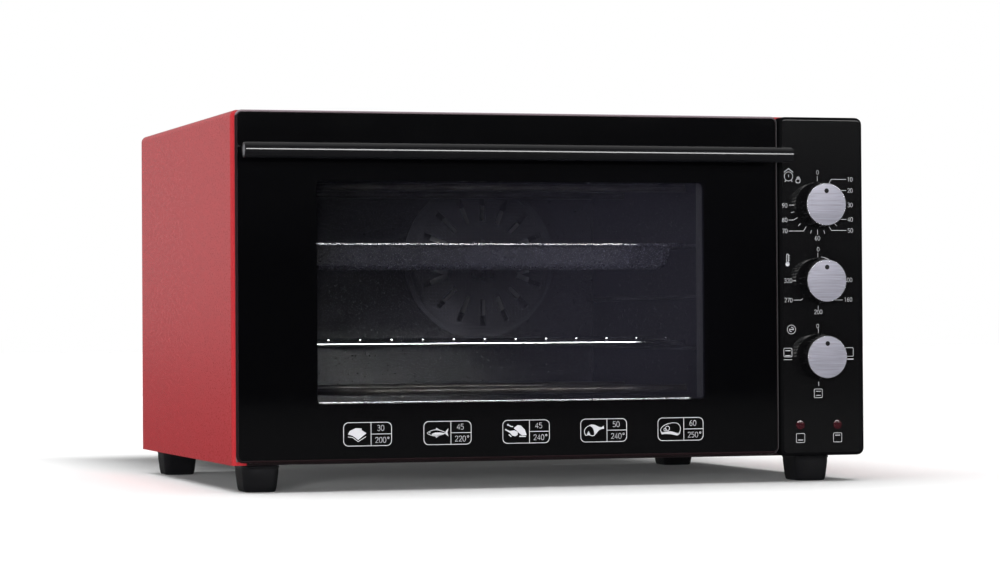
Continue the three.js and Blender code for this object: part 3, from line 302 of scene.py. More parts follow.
@dataclass(frozen=True)
class Finish:
    """A surface with a fine grain that shifts its colour, gloss and height a little."""

    name: str
    slot: Slot
    colour: Colour
    roughness: float
    metal: float = 0.0
    spread: float = 0.06
    roughness_spread: float = 0.05
    grain: float = 900.0
    grain_depth: float = 4e-6
    stretch: Triple = (1, 1, 1)
    specular: float = 0.5
    coat: float = 0.0
    coat_roughness: float = 0.06
    broader: float = 40.0

    def shade(self, amount: float) -> Colour:
        """Makes the finish's colour lighter or darker by a share."""
        red, green, blue, alpha = self.colour
        return (red * amount, green * amount, blue * amount, alpha)

    def wire(self, wiring: Wiring) -> None:
        """Joins up the nodes of the finish.

        Args:
            wiring: The material that is being made.
        """
        grain = wiring.noise(self.grain, self.stretch)
        broad = wiring.noise(self.grain / self.broader, detail=3.0)
        tint = wiring.blend(broad, self.shade(1 - self.spread), self.shade(1 + self.spread))
        low, high = self.roughness - self.roughness_spread, self.roughness + self.roughness_spread
        wiring.fix(Base_Color=tint, Roughness=wiring.span(grain, target=(max(low, LEAST_ROUGHNESS), high)))
        wiring.bump(grain, self.grain_depth)

    @cache
    def material(self) -> bpy.types.Material:
        """Gives the finish's material, made the first time it is asked for.

        Returns:
            The material.
        """
        wiring = Wiring(self.name)
        wiring.fix(Metallic=self.metal, Specular_IOR_Level=self.specular)
        wiring.fix(Coat_Weight=self.coat, Coat_Roughness=self.coat_roughness)
        self.wire(wiring)
        return wiring.material


@dataclass(frozen=True)
class SprayedEnamel(Finish):
    """Baked enamel on sheet steel: a clear coat over colour, with a slow orange peel."""

    peel: float = 220.0
    peel_depth: float = 4e-6

    def wire(self, wiring: Wiring) -> None:
        """Adds the orange peel to the fine grain.

        Args:
            wiring: The material that is being made.
        """
        super().wire(wiring)
        wiring.bump(wiring.noise(self.peel, detail=3.0), self.peel_depth)


@dataclass(frozen=True)
class SpeckledEnamel(Finish):
    """Oven enamel with pale and dark flecks fired into it."""

    fleck_scale: float = 430.0
    fleck_edge: Pair = (0.34, 0.2)
    fleck: Colour = (0.5, 0.5, 0.53, 1.0)
    ground_scale: float = 60.0
    ground_spread: float = 0.2

    def wire(self, wiring: Wiring) -> None:
        """Scatters flecks over the ground colour.

        Args:
            wiring: The material that is being made.
        """
        super().wire(wiring)
        low, high = self.shade(1 - self.ground_spread), self.shade(1 + self.ground_spread)
        ground = wiring.blend(wiring.noise(self.ground_scale), low, high)
        flecks = wiring.span(wiring.cells(self.fleck_scale), self.fleck_edge)
        wiring.fix(Base_Color=wiring.blend(flecks, ground, self.fleck))


@dataclass(frozen=True)
class PerforatedSteel(Finish):
    """Coated steel with a close grid of small punched holes."""

    hole_scale: float = 300.0
    hole_edge: Pair = (0.2, 0.32)
    hole: Colour = (0.004, 0.004, 0.005, 1.0)

    def wire(self, wiring: Wiring) -> None:
        """Darkens the holes of a regular grid.

        Args:
            wiring: The material that is being made.
        """
        super().wire(wiring)
        grid = wiring.add("ShaderNodeTexVoronoi", Vector=wiring.place, Scale=self.hole_scale)
        wiring.fill(grid, "Randomness", 0.0)
        holes = wiring.span(grid.outputs["Distance"], self.hole_edge, WHOLE[::-1])
        wiring.fix(Base_Color=wiring.blend(holes, self.colour, self.hole))


@dataclass(frozen=True)
class BrushedMetal(Finish):
    """Metal brushed in straight lines along x."""

    line_scale: float = 60.0
    line_contrast: float = 0.4
    line_depth: float = 1.6e-5
    thin: Triple = (0.35, 20.0, 20.0)
    wide: Triple = (0.4, 12.0, 12.0)
    wide_share: float = 4.0
    cloud_contrast: float = 0.04

    def wire(self, wiring: Wiring) -> None:
        """Draws fine lines of two widths across the metal.

        Args:
            wiring: The material that is being made.
        """
        thin = wiring.noise(self.line_scale, self.thin, 4.0)
        wide = wiring.noise(self.line_scale / self.wide_share, self.wide)
        low, high = self.shade(1 - self.line_contrast), self.shade(1 + self.line_contrast)
        streaks = wiring.blend(wiring.span(thin), low, high)
        pale, dark = self.shade(1 + self.cloud_contrast), self.shade(1 - self.cloud_contrast)
        clouds = wiring.blend(wiring.span(wide), dark, pale)
        tint = wiring.blend(0.5, streaks, clouds)
        low, high = self.roughness - self.roughness_spread, self.roughness + self.roughness_spread
        wiring.fix(Base_Color=tint, Roughness=wiring.span(thin, target=(low, high)))
        wiring.bump(thin, self.line_depth)


@dataclass(frozen=True)
class HeatedSheath(Finish):
    """Heater steel, browned and greyed in patches by heat."""

    scorch: Colour = (0.03, 0.026, 0.024, 1.0)
    patch_scale: float = 45.0
    patch_edge: Pair = (0.42, 0.62)

    def wire(self, wiring: Wiring) -> None:
        """Mixes scorched patches into the steel.

        Args:
            wiring: The material that is being made.
        """
        super().wire(wiring)
        patches = wiring.span(wiring.noise(self.patch_scale, detail=4.0), self.patch_edge)
        wiring.fix(Base_Color=wiring.blend(patches, self.colour, self.scorch))


@dataclass(frozen=True)
class TintedPane(Finish):
    """Thin glass that light passes through, tinted by a share of its own colour that hides what is behind
    it; on the window that share grows to the right, a painted veil that is a painted reflection lighter
    towards the right.
    """

    cover: Pair = (0.05, 0.05)
    reach: Pair = (-0.2145, 0.1335)
    film: float = 0.006
    film_scale: float = 35.0
    film_edge: Pair = (0.35, 0.65)

    def wire(self, wiring: Wiring) -> None:
        """Sets how much of the pane covers what is behind it.

        Args:
            wiring: The material that is being made.
        """
        super().wire(wiring)
        # Share that grows along x over the reach: a painted reflection, a veil lighter towards the right
        # of the window.
        coat = wiring.span(wiring.split(wiring.place)["X"], self.reach, self.cover)
        smear = wiring.noise(self.film_scale, detail=4.0)
        film = wiring.span(smear, self.film_edge, (0.0, self.film))
        wiring.fix(Alpha=wiring.reckon("ADD", coat, film))


@dataclass(frozen=True)
class GroundEdge(Finish):
    """A ground glass edge with painted light: a painted highlight where it faces up, a grey painted
    highlight where it faces right, and painted shade, dark and a little red, on the other sides.
    """

    shaded: Colour = (0.012, 0.006, 0.007, 1.0)
    beside: Colour = (0.05, 0.05, 0.053, 1.0)
    turned: Pair = (0.1, 0.5)

    def wire(self, wiring: Wiring) -> None:
        """Paints a highlight on the faces that look up, a grey highlight on those that look right, and
        shade on the rest.

        Args:
            wiring: The material that is being made.
        """
        super().wire(wiring)
        facing = wiring.facing()
        # Painted highlight on faces turned up or right; the other faces get the painted shade colour.
        painted_top_highlight_share = wiring.span(facing["Z"], self.turned)
        painted_right_highlight_share = wiring.span(facing["X"], self.turned)
        upper = wiring.blend(painted_top_highlight_share, self.shaded, self.colour)
        wiring.fix(Base_Color=wiring.blend(painted_right_highlight_share, upper, self.beside))


@dataclass(frozen=True)
class LacqueredFace(Finish):
    """A clear lacquer on the front face that thins out over the rounded edges."""

    lacquer: float = 0.7
    flat: Pair = (-0.9995, -0.99)

    def wire(self, wiring: Wiring) -> None:
        """Lays the lacquer where the piece looks forward.

        Args:
            wiring: The material that is being made.
        """
        super().wire(wiring)
        wiring.fix(Coat_Weight=wiring.span(wiring.facing()["Y"], self.flat, (self.lacquer, 0.0)))


@dataclass(frozen=True)
class SignalLens(Finish):
    """Moulded red plastic with fine facets behind its face."""

    facet_scale: float = 1400.0
    facet_depth: float = 6e-5
    facet_shades: Pair = (0.5, 1.7)

    def wire(self, wiring: Wiring) -> None:
        """Lays small facets under the gloss.

        Args:
            wiring: The material that is being made.
        """
        super().wire(wiring)
        cells = wiring.cells(self.facet_scale)
        wiring.fix(Base_Color=wiring.blend(cells, *(self.shade(share) for share in self.facet_shades)))
        wiring.bump(cells, self.facet_depth)


class Finishes:
    """Every finish of the oven."""

    red_enamel = SprayedEnamel(
        "red_baked_enamel", Slot.RED_ENAMEL, paint(154, 34, 40), 0.3, spread=0.02, specular=0.4,
    )
    # The frame shows only in the gaps round the door; its near-black colour is painted shade for those
    # gaps.
    dark_frame = Finish(
        "frame_in_painted_shade", Slot.DARK_STEEL, paint(26, 18, 20), 0.5, grain=1600.0, grain_depth=1.2e-5,
    )
    black_panel = LacqueredFace(
        "black_panel_lacquer", Slot.BLACK_PANEL, paint(10, 10, 11), 0.4, grain=500.0, grain_depth=1e-6,
        specular=0.0, coat_roughness=0.09,
    )
    black_bar = Finish(
        "black_bar_satin", Slot.BLACK_BAR, paint(13, 13, 15), 0.14, grain=2500.0, grain_depth=2e-6,
    )
    bar_end = Finish("bar_end_grey", Slot.BLACK_BAR, paint(86, 86, 90), 0.45, grain=2500.0)
    black_knob = Finish(
        "black_knob_gloss", Slot.BLACK_KNOB, paint(9, 9, 10), 0.14, grain=1800.0, grain_depth=2e-6,
        roughness_spread=0.03, specular=0.2,
    )
    black_foot = Finish(
        "black_foot_moulded", Slot.BLACK_FOOT, paint(14, 14, 16), 0.22, grain=1500.0, grain_depth=5e-6,
    )
    dark_enamel = SpeckledEnamel(
        "dark_oven_enamel", Slot.DARK_ENAMEL, paint(14, 14, 17), 0.32, grain=400.0, grain_depth=6e-6,
        coat=0.15, coat_roughness=0.08, fleck_scale=760.0, fleck=(0.055, 0.055, 0.066, 1.0),
    )
    tray_enamel = SpeckledEnamel(
        "tray_enamel", Slot.DARK_ENAMEL, paint(34, 34, 42), 0.25, grain=400.0, grain_depth=6e-6,
        coat=1.0, coat_roughness=0.06, fleck_scale=800.0, fleck=(0.032, 0.032, 0.042, 1.0),
    )
    fan_steel = PerforatedSteel("punched_fan_steel", Slot.DARK_STEEL, paint(44, 44, 49), 0.35)
    dark_steel = Finish(
        "dark_coated_steel", Slot.DARK_STEEL, paint(38, 38, 41), 0.45, grain=1600.0, grain_depth=1.2e-5,
    )
    zinc_steel = Finish(
        "zinc_sheet", Slot.ZINC_STEEL, paint(176, 178, 182), 0.36, metal=0.9, grain=300.0,
        spread=0.14, roughness_spread=0.1,
    )
    screw_head = Finish(
        "screw_zinc", Slot.ZINC_STEEL, paint(190, 190, 194), 0.28, metal=1.0, grain=1500.0,
    )
    brushed_disc = BrushedMetal(
        "brushed_metal_disc", Slot.BRUSHED_DISC, paint(126, 125, 135), 0.36, metal=0.15, specular=0.3,
        roughness_spread=0.08,
    )
    disc_rim = Finish(
        "disc_cut_rim", Slot.BRUSHED_DISC, paint(225, 225, 230), 0.18, metal=0.9, grain=2000.0,
    )
    index_dot = Finish(
        "index_dot_black", Slot.BLACK_KNOB, paint(8, 8, 9), 0.5, grain=2500.0, specular=0.1,
    )
    bright_wire = Finish(
        "chromed_wire", Slot.BRIGHT_WIRE, paint(236, 236, 240), 0.14, metal=1.0, grain=1200.0,
        roughness_spread=0.05,
    )
    heater_sheath = HeatedSheath(
        "scorched_sheath", Slot.HEATER_SHEATH, paint(66, 64, 62), 0.34, metal=0.7, grain=900.0,
    )
    printed_glass = Finish(
        "black_printed_glass", Slot.FRONT_GLASS, paint(3, 3, 4), 0.05, grain=60.0, grain_depth=2e-7,
        roughness_spread=0.015, specular=0.3,
    )
    # The edge's colour is its painted highlight where it faces up; the sides get painted shade.
    ground_edge = GroundEdge(
        "ground_glass_edge", Slot.FRONT_GLASS, paint(118, 106, 112), 0.4, grain=1800.0, spread=0.12,
        specular=0.12,
    )
    # The window's bluish colour, laid on more thickly to the right, is a painted reflection.
    window_pane = TintedPane(
        "window_pane", Slot.FRONT_GLASS, paint(70, 68, 86), 0.04, grain=60.0, grain_depth=2e-7,
        roughness_spread=0.015, cover=(0.0, 0.035), reach=(-0.2145, 0.0), specular=0.3,
    )
    rear_pane = TintedPane(
        "rear_pane", Slot.REAR_GLASS, paint(60, 62, 66), 0.05, grain=80.0, grain_depth=4e-7,
        roughness_spread=0.02, cover=(0.02, 0.02), film=0.01, specular=0.3,
    )
    lamp_lens = SignalLens("lamp_lens_red", Slot.LAMP_RED, paint(46, 12, 18), 0.1, coat=0.2)
    grey_plastic = Finish(
        "grey_moulded_plastic", Slot.GREY_PLASTIC, paint(150, 151, 154), 0.5, grain=1400.0,
    )
    ink = Finish("white_print", Slot.BLACK_PANEL, paint(190, 190, 194), 0.5, grain=3000.0, specular=0.3)


@dataclass(frozen=True)
class Sides:
    """The left, right, bottom and top of something, in any plane."""

    left: float
    right: float
    bottom: float
    top: float

    @classmethod
    def of_node(cls, node: str) -> "Sides":
        """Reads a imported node's sides as seen from the front."""
        low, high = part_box(node)
        return cls(low.x, high.x, low.z, high.z)

    @classmethod
    def from_above(cls, node: str) -> "Sides":
        """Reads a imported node's sides as seen from above."""
        low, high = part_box(node)
        return cls(low.x, high.x, low.y, high.y)

    @classmethod
    def about(cls, x: float, y: float, width: float, height: float) -> "Sides":
        """Makes sides about a middle.

        Args:
            x: The middle along the first axis.
            y: The middle along the second axis.
            width: The size along the first axis.
            height: The size along the second axis.

        Returns:
            The sides.
        """
        return cls(x - width / 2, x + width / 2, y - height / 2, y + height / 2)

    def inset(self, amount: float) -> "Sides":
        """Makes the sides smaller by the same amount all round."""
        return Sides(self.left + amount, self.right - amount, self.bottom + amount, self.top - amount)


def round_corners(sides: Sides, radius: float, steps: int = 6) -> list[Pair]:
    """Lists the outline of a rectangle with round corners, anticlockwise.

    Args:
        sides: The rectangle.
        radius: The corners' radius.
        steps: Steps in each corner.

    Returns:
        The outline's points.
    """
    corners = (
        (sides.right - radius, sides.bottom + radius),
        (sides.right - radius, sides.top - radius),
        (sides.left + radius, sides.top - radius),
        (sides.left + radius, sides.bottom + radius),
    )
    points = []
    for turn, (x, y) in enumerate(corners):
        for step in range(steps + 1):
            angle = (turn - 1 + step / steps) * QUARTER_TURN
            points.append((x + radius * math.cos(angle), y + radius * math.sin(angle)))
    return points


def arc(middle: Pair, radius: float, start: float, end: float, steps: int) -> list[Pair]:
    """Lists points along part of a circle.

    Args:
        middle: The circle's middle.
        radius: Its radius.
        start: The first angle, anticlockwise from the right.
        end: The last angle.
        steps: Steps between the two.

    Returns:
        The points, both ends among them.
    """
    angles = [start + (end - start) * step / steps for step in range(steps + 1)]
    return [(middle[0] + radius * math.cos(a), middle[1] + radius * math.sin(a)) for a in angles]


def smooth_loop(points: Sequence[Pair], steps: int = 5) -> list[Pair]:
    """Rounds a closed outline through its points.

    Args:
        points: The points that the outline passes through.
        steps: New points for each one given.

    Returns:
        The rounded outline.
    """
    count = len(points)
    made = []
    for at in range(count):
        a, b, c, d = (Vector(points[(at + k) % count]) for k in (-1, 0, 1, 2))
        for step in range(steps):
            t = step / steps
            ahead, curve, twist = c - a, 2 * a - 5 * b + 4 * c - d, 3 * b - 3 * c + d - a
            point = b + (ahead * t + curve * t * t + twist * t**3) / 2
            made.append((point.x, point.y))
    return made


Placer = Callable[[float, float, float], Vector]


def facing_front(a: float, b: float, depth: float) -> Vector:
    """Places a drawing upright: across, up and back."""
    return Vector((a, depth, b))


def facing_up(a: float, b: float, depth: float) -> Vector:
    """Places a drawing level: across, back and up."""
    return Vector((a, b, depth))


def ring(outline: Iterable[Pair], depth: float, place: Placer = facing_front) -> list[Vector]:
    """Places an outline at one depth."""
    return [place(a, b, depth) for a, b in outline]


def around(middle: Vector, across: Vector, upright: Vector, radius: float, steps: int) -> list[Vector]:
    """Lists points round a circle in the plane of two directions."""
    angles = [FULL_TURN * step / steps for step in range(steps)]
    return [middle + (across * math.cos(a) + upright * math.sin(a)) * radius for a in angles]


def shifted(points: Iterable[Pair], by: Pair) -> list[Pair]:
    """Moves points of a drawing."""
    return [(by[0] + x, by[1] + z) for x, z in points]


class Form:
    """Gathers the faces of one piece and turns them into a mesh."""

    def __init__(self) -> None:
        """Starts with no faces."""
        self.faces = bmesh.new()

    def skin(
        self,
        rings: Sequence[Sequence[Vector]],
        wrap: bool = False,
        caps: bool = True,
        finish: int = 0,
    ) -> "Form":
        """Skins rings of equally many points.

        Args:
            rings: The rings, in order.
            wrap: Whether the last ring joins the first.
            caps: Whether the first and last ring are closed by a face.
            finish: The index of the faces' finish.

        Returns:
            The form itself.
        """
        rows = [[self.faces.verts.new(point) for point in points] for points in rings]
        count = len(rows[0])
        pairs = list(zip(rows, rows[1:] + rows[:1])) if wrap else list(zip(rows, rows[1:]))
        for low, high in pairs:
            for k in range(count):
                following = (k + 1) % count
                corners = (low[k], low[following], high[following], high[k])
                self.faces.faces.new(corners).material_index = finish
        if caps and not wrap:
            self.faces.faces.new(rows[0][::-1]).material_index = finish
            self.faces.faces.new(rows[-1]).material_index = finish
        return self

    def turn(self, profile: Sequence[Pair], middle: Vector, along: Vector, steps: int = 48) -> "Form":
        """Turns a profile of radius and distance about an axis.

        Args:
            profile: Radius and distance along the axis, from one end to the other.
            middle: Where the distance is zero.
            along: The axis.
            steps: Steps round the axis.

        Returns:
            The form itself.
        """
        across = along.orthogonal().normalized()
        upright = along.cross(across).normalized()
        return self.skin([
            around(middle + along * distance, across, upright, radius, steps)
            for radius, distance in profile
        ])

    def tube(self, path: Sequence[Vector], radius: float, sides: int, loop: bool = False) -> "Form":
        """Sweeps a round rod along a level path.

        Args:
            path: The points that the rod's middle follows.
            radius: The rod's radius.
            sides: Sides of its section.
            loop: Whether the path closes on itself.

        Returns:
            The form itself.
        """
        last = len(path) - 1
        rings = []
        for at, point in enumerate(path):
            before = path[at - 1] if at or loop else path[0]
            after = path[(at + 1) % (last + 1)] if at < last or loop else path[last]
            ahead = (after - before).normalized()
            across = ahead.cross(UPWARD).normalized()
            rings.append(around(point, across, across.cross(ahead), radius, sides))
        return self.skin(rings, wrap=loop)

    def prism(
        self,
        outline: Sequence[Pair],
        near: float,
        far: float,
        place: Placer = facing_front,
    ) -> "Form":
        """Gives an outline a thickness.

        Args:
            outline: The outline's points.
            near: The depth of its near face.
            far: The depth of its far face.
            place: How the drawing lies in space.

        Returns:
            The form itself.
        """
        return self.skin([ring(outline, near, place), ring(outline, far, place)])

    def mesh(self, name: str, weld: bool = True, smooth: bool = True) -> bpy.types.Mesh:
        """Closes the form into a mesh whose faces point out.

        Args:
            name: The mesh's name.
            weld: Whether corners at one place become one.
            smooth: Whether it shades smoothly up to a sharp fold.

        Returns:
            The mesh.
        """
        if weld:
            bmesh.ops.remove_doubles(self.faces, verts=self.faces.verts, dist=WELD_DISTANCE)
        bmesh.ops.dissolve_degenerate(self.faces, dist=WELD_DISTANCE / 10, edges=self.faces.edges)
        bmesh.ops.recalc_face_normals(self.faces, faces=self.faces.faces)
        mesh = bpy.data.meshes.new(name)
        self.faces.to_mesh(mesh)
        self.faces.free()
        if smooth:
            mesh.shade_smooth()
            mesh.set_sharp_from_angle(angle=SMOOTH_ANGLE)
        return mesh


def add_piece(
    name: str,
    form: Form,
    body: Body,
    *finishes: Finish,
    stands_for: Sequence[str] = (),
    weld: bool = True,
) -> bpy.types.Object:
    """Makes a piece of a form, dresses it and lets it ride on a body.

    Args:
        name: The piece's name.
        form: Its faces.
        body: The body it rides on.
        *finishes: Its finishes, in the order of its faces' indices.
        stands_for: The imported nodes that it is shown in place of.
        weld: Whether corners at one place become one.

    Returns:
        The piece.
    """
    mesh = form.mesh(name, weld)
    made = bpy.data.objects.new(name, mesh)
    bpy.context.scene.collection.objects.link(made)
    for finish in finishes:
        mesh.materials.append(finish.material())
    even = made.modifiers.new("Even shading", "WEIGHTED_NORMAL")
    even.keep_sharp = True
    even.weight = FACE_AREA_WEIGHT
    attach(made, body.value)
    if stands_for:
        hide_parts(*stands_for)
    LOG.info("%s: %d faces on %s", name, len(mesh.polygons), body.value)
    return made


def middle_of(node: str, depth: float = 0.0) -> Vector:
    """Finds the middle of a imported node's front view, at a depth.

    Args:
        node: The node.
        depth: How far back the place lies.

    Returns:
        The place.
    """
    low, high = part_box(node)
    return Vector(((low.x + high.x) / 2, depth, (low.z + high.z) / 2))


def dress_nodes(finish: Finish, *nodes: str) -> None:
    """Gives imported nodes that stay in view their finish.

    Args:
        finish: The finish.
        *nodes: The nodes' names.
    """
    for name in nodes:
        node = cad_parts[name]
        node.material_slots[0].material = finish.material()
        LOG.info("%s keeps its packed shape", name)


def recast(node: str, body: Body, finish: Finish, edge: float, name: str) -> None:
    """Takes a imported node's faces over into one joined mesh with rounded edges.

    Args:
        node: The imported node.
        body: The body it rides on.
        finish: Its finish.
        edge: The width of the rounding, or 0 for none.
        name: The piece's name.
    """
    form = Form()
    faces = form.faces
    faces.from_mesh(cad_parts[node].data)
    bmesh.ops.remove_doubles(faces, verts=faces.verts, dist=WELD_DISTANCE)
    bmesh.ops.dissolve_limit(faces, angle_limit=FLAT_ANGLE, verts=faces.verts, edges=faces.edges)
    if edge:
        folds = [fold for fold in faces.edges if fold.calc_face_angle(0) > FOLD_ANGLE]
        bmesh.ops.bevel(
            faces, geom=folds, offset=edge, segments=EDGE_STEPS, profile=0.5, affect="EDGES",
            clamp_overlap=True,
        )
    add_piece(name, form, body, finish, stands_for=(node,), weld=False)


SIX = (
    (0.42, 0.98), (0.24, 0.92), (0.08, 0.68), (0.02, 0.34), (0.08, 0.1), (0.25, 0.0), (0.42, 0.09),
    (0.48, 0.3), (0.41, 0.5), (0.25, 0.58), (0.1, 0.5), (0.03, 0.36),
)
DIGITS: dict[str, tuple[Stroke, ...]] = {
    "0": (
        ((0.25, 0.0), (0.42, 0.1), (0.49, 0.34), (0.49, 0.66), (0.42, 0.9), (0.25, 1.0), (0.08, 0.9),
         (0.01, 0.66), (0.01, 0.34), (0.08, 0.1), (0.25, 0.0)),
    ),
    "1": (((0.08, 0.8), (0.28, 1.0), (0.28, 0.0)),),
    "2": (
        ((0.02, 0.76), (0.09, 0.94), (0.25, 1.0), (0.42, 0.93), (0.48, 0.75), (0.41, 0.54), (0.03, 0.03),
         (0.5, 0.03)),
    ),
    "3": (
        ((0.03, 0.88), (0.18, 1.0), (0.34, 0.98), (0.45, 0.85), (0.44, 0.66), (0.32, 0.54), (0.16, 0.53)),
        ((0.32, 0.54), (0.46, 0.42), (0.49, 0.2), (0.37, 0.03), (0.18, 0.0), (0.02, 0.12)),
    ),
    "4": (((0.37, 0.0), (0.37, 0.98), (0.01, 0.28), (0.52, 0.28)),),
    "5": (
        ((0.46, 0.98), (0.08, 0.98), (0.05, 0.56), (0.25, 0.62), (0.43, 0.52), (0.49, 0.3), (0.4, 0.07),
         (0.21, 0.0), (0.02, 0.1)),
    ),
    "6": (SIX,),
    "7": (((0.01, 0.97), (0.5, 0.97), (0.18, 0.0)),),
    "8": (
        ((0.25, 0.54), (0.08, 0.65), (0.06, 0.84), (0.25, 1.0), (0.44, 0.84), (0.42, 0.65), (0.25, 0.54),
         (0.05, 0.4), (0.02, 0.16), (0.25, 0.0), (0.48, 0.16), (0.45, 0.4), (0.25, 0.54)),
    ),
    "9": (tuple((0.5 - x, 1.0 - z) for x, z in SIX),),
}


@dataclass
class Print:
    """Printed marks on an upright face, drawn in millimetres about an origin."""

    face: float
    origin: Pair
    thickness: float = 0.00004
    mitre_limit: float = 0.6
    circle_steps: int = 31
    disc_steps: int = 23
    digit_width: float = 0.55
    digit_advance: float = 0.72
    digit_stroke: float = 0.075
    form: Form = field(default_factory=Form)

    def spot(self, x: float, z: float) -> Pair:
        """Turns a place in the drawing into one on the face."""
        return (self.origin[0] + x * MILLIMETRE, self.origin[1] + z * MILLIMETRE)

    def patch(self, outline: Iterable[Pair]) -> None:
        """Fills an outline."""
        points = [self.spot(x, z) for x, z in outline]
        self.form.prism(points, self.face - self.thickness, self.face)

    def path(self, points: Sequence[Pair], width: float) -> None:
        """Draws one stroke through points, mitred where it turns.

        Args:
            points: The points on its middle line.
            width: Its width.
        """
        spots = [Vector(point) for point in points]
        left, right = [], []
        for at, spot in enumerate(spots):
            before, after = spots[max(at - 1, 0)], spots[min(at + 1, len(spots) - 1)]
            coming = (spot - before).normalized() if at else (after - spot).normalized()
            leaving = (after - spot).normalized() if at < len(spots) - 1 else coming
            ahead = (coming + leaving).normalized()
            reach = width / 2 / max(ahead.dot(coming), self.mitre_limit)
            side = Vector((-ahead.y, ahead.x)) * reach
            left.append(tuple(spot + side))
            right.append(tuple(spot - side))
        self.patch(right + left[::-1])

    def band(self, outer: Iterable[Pair], inner: Iterable[Pair]) -> None:
        """Fills the band between two outlines of equally many points.

        Args:
            outer: The outline on the outside.
            inner: The outline on the inside.
        """
        front, back = self.face - self.thickness, self.face
        outside = [self.spot(x, z) for x, z in outer]
        inside = [self.spot(x, z) for x, z in inner]
        rings = [ring(outside, front), ring(inside, front), ring(inside, back), ring(outside, back)]
        self.form.skin(rings, wrap=True)

    def circle(self, middle: Pair, radius: float, width: float) -> None:
        """Draws a circle.

        Args:
            middle: Its middle.
            radius: The radius of the stroke's middle.
            width: The stroke's width.
        """
        steps = self.circle_steps
        last = FULL_TURN * steps / (steps + 1)
        outer, inner = (arc(middle, radius + side * width / 2, 0, last, steps) for side in (1, -1))
        self.band(outer, inner)

    def disc(self, middle: Pair, radius: float) -> None:
        """Fills a circle."""
        steps = self.disc_steps
        self.patch(arc(middle, radius, 0, FULL_TURN * steps / (steps + 1), steps))

    def box(self, sides: Sides, corner: float, width: float) -> None:
        """Draws a rectangle with round corners by a stroke inside it."""
        inner = round_corners(sides.inset(width), corner - width * 0.7)
        self.band(round_corners(sides, corner), inner)

    def outline(self, points: Sequence[Pair], width: float) -> None:
        """Draws a rounded shape by a stroke that lies inside it.

        Args:
            points: The points that the shape passes through.
            width: The stroke's width.
        """
        outer = smooth_loop(points)
        inner = []
        for at, (x, z) in enumerate(outer):
            after, before = outer[(at + 1) % len(outer)], outer[at - 1]
            ahead = (Vector(after) - Vector(before)).normalized() * width
            inner.append((x - ahead.y, z + ahead.x))
        self.band(outer, inner)

    def number(self, words: str, middle: Pair, height: float) -> None:
        """Writes a number in thin strokes.

        Args:
            words: The number.
            middle: The middle of its digits.
            height: The digits' height.
        """
        advance, wide = self.digit_advance * height, self.digit_width * height
        left = middle[0] - (advance * (len(words) - 1) + wide) / 2
        foot = middle[1] - height / 2
        for at, digit in enumerate(words):
            start = left + at * advance
            for stroke in DIGITS[digit]:
                points = [(start + x * 2 * wide, foot + z * height) for x, z in stroke]
                self.path(points, self.digit_stroke * height)

    def finish(self, name: str, body: Body, ink: Finish) -> None:
        """Makes one piece of all the marks.

        Args:
            name: The piece's name.
            body: The body it rides on.
            ink: Its finish.
        """
        add_piece(name, self.form, body, ink, weld=False)


def hang_lamp(light: bpy.types.Light, toward: Vector, place: Triple = (0, 0, 0)) -> None:
    """Hangs a lamp that reflections don't show.

    Args:
        light: Its light.
        toward: The direction from what it lights to the lamp.
        place: Where it hangs.
    """
    lamp = bpy.data.objects.new(light.name, light)
    lamp.location = place
    lamp.rotation_mode = "QUATERNION"
    lamp.rotation_quaternion = toward.to_track_quat("Z", "Y")
    lamp.visible_glossy = False
    bpy.context.scene.collection.objects.link(lamp)
    LOG.info("%s hangs", light.name)


@dataclass(frozen=True)
class SoftLamp:
    """A distant lamp that fills a wide angle."""

    name: str
    toward: Triple
    strength: float
    softness: float

    def hang(self) -> None:
        """Hangs the lamp."""
        light = bpy.data.lights.new(self.name, "SUN")
        light.energy = self.strength
        light.angle = math.radians(self.softness)
        hang_lamp(light, Vector(self.toward))


@dataclass(frozen=True)
class SpotLamp:
    """A narrow lamp that shines through the window."""

    name: str
    place: Triple
    target: Triple
    power: float
    spread: float = 8.0
    blur: float = 0.5
    radius: float = 0.03

    def hang(self) -> None:
        """Hangs the lamp."""
        light = bpy.data.lights.new(self.name, "SPOT")
        light.energy = self.power
        light.spot_size = math.radians(self.spread)
        light.spot_blend = self.blur
        light.shadow_soft_size = self.radius
        hang_lamp(light, Vector(self.place) - Vector(self.target), self.place)


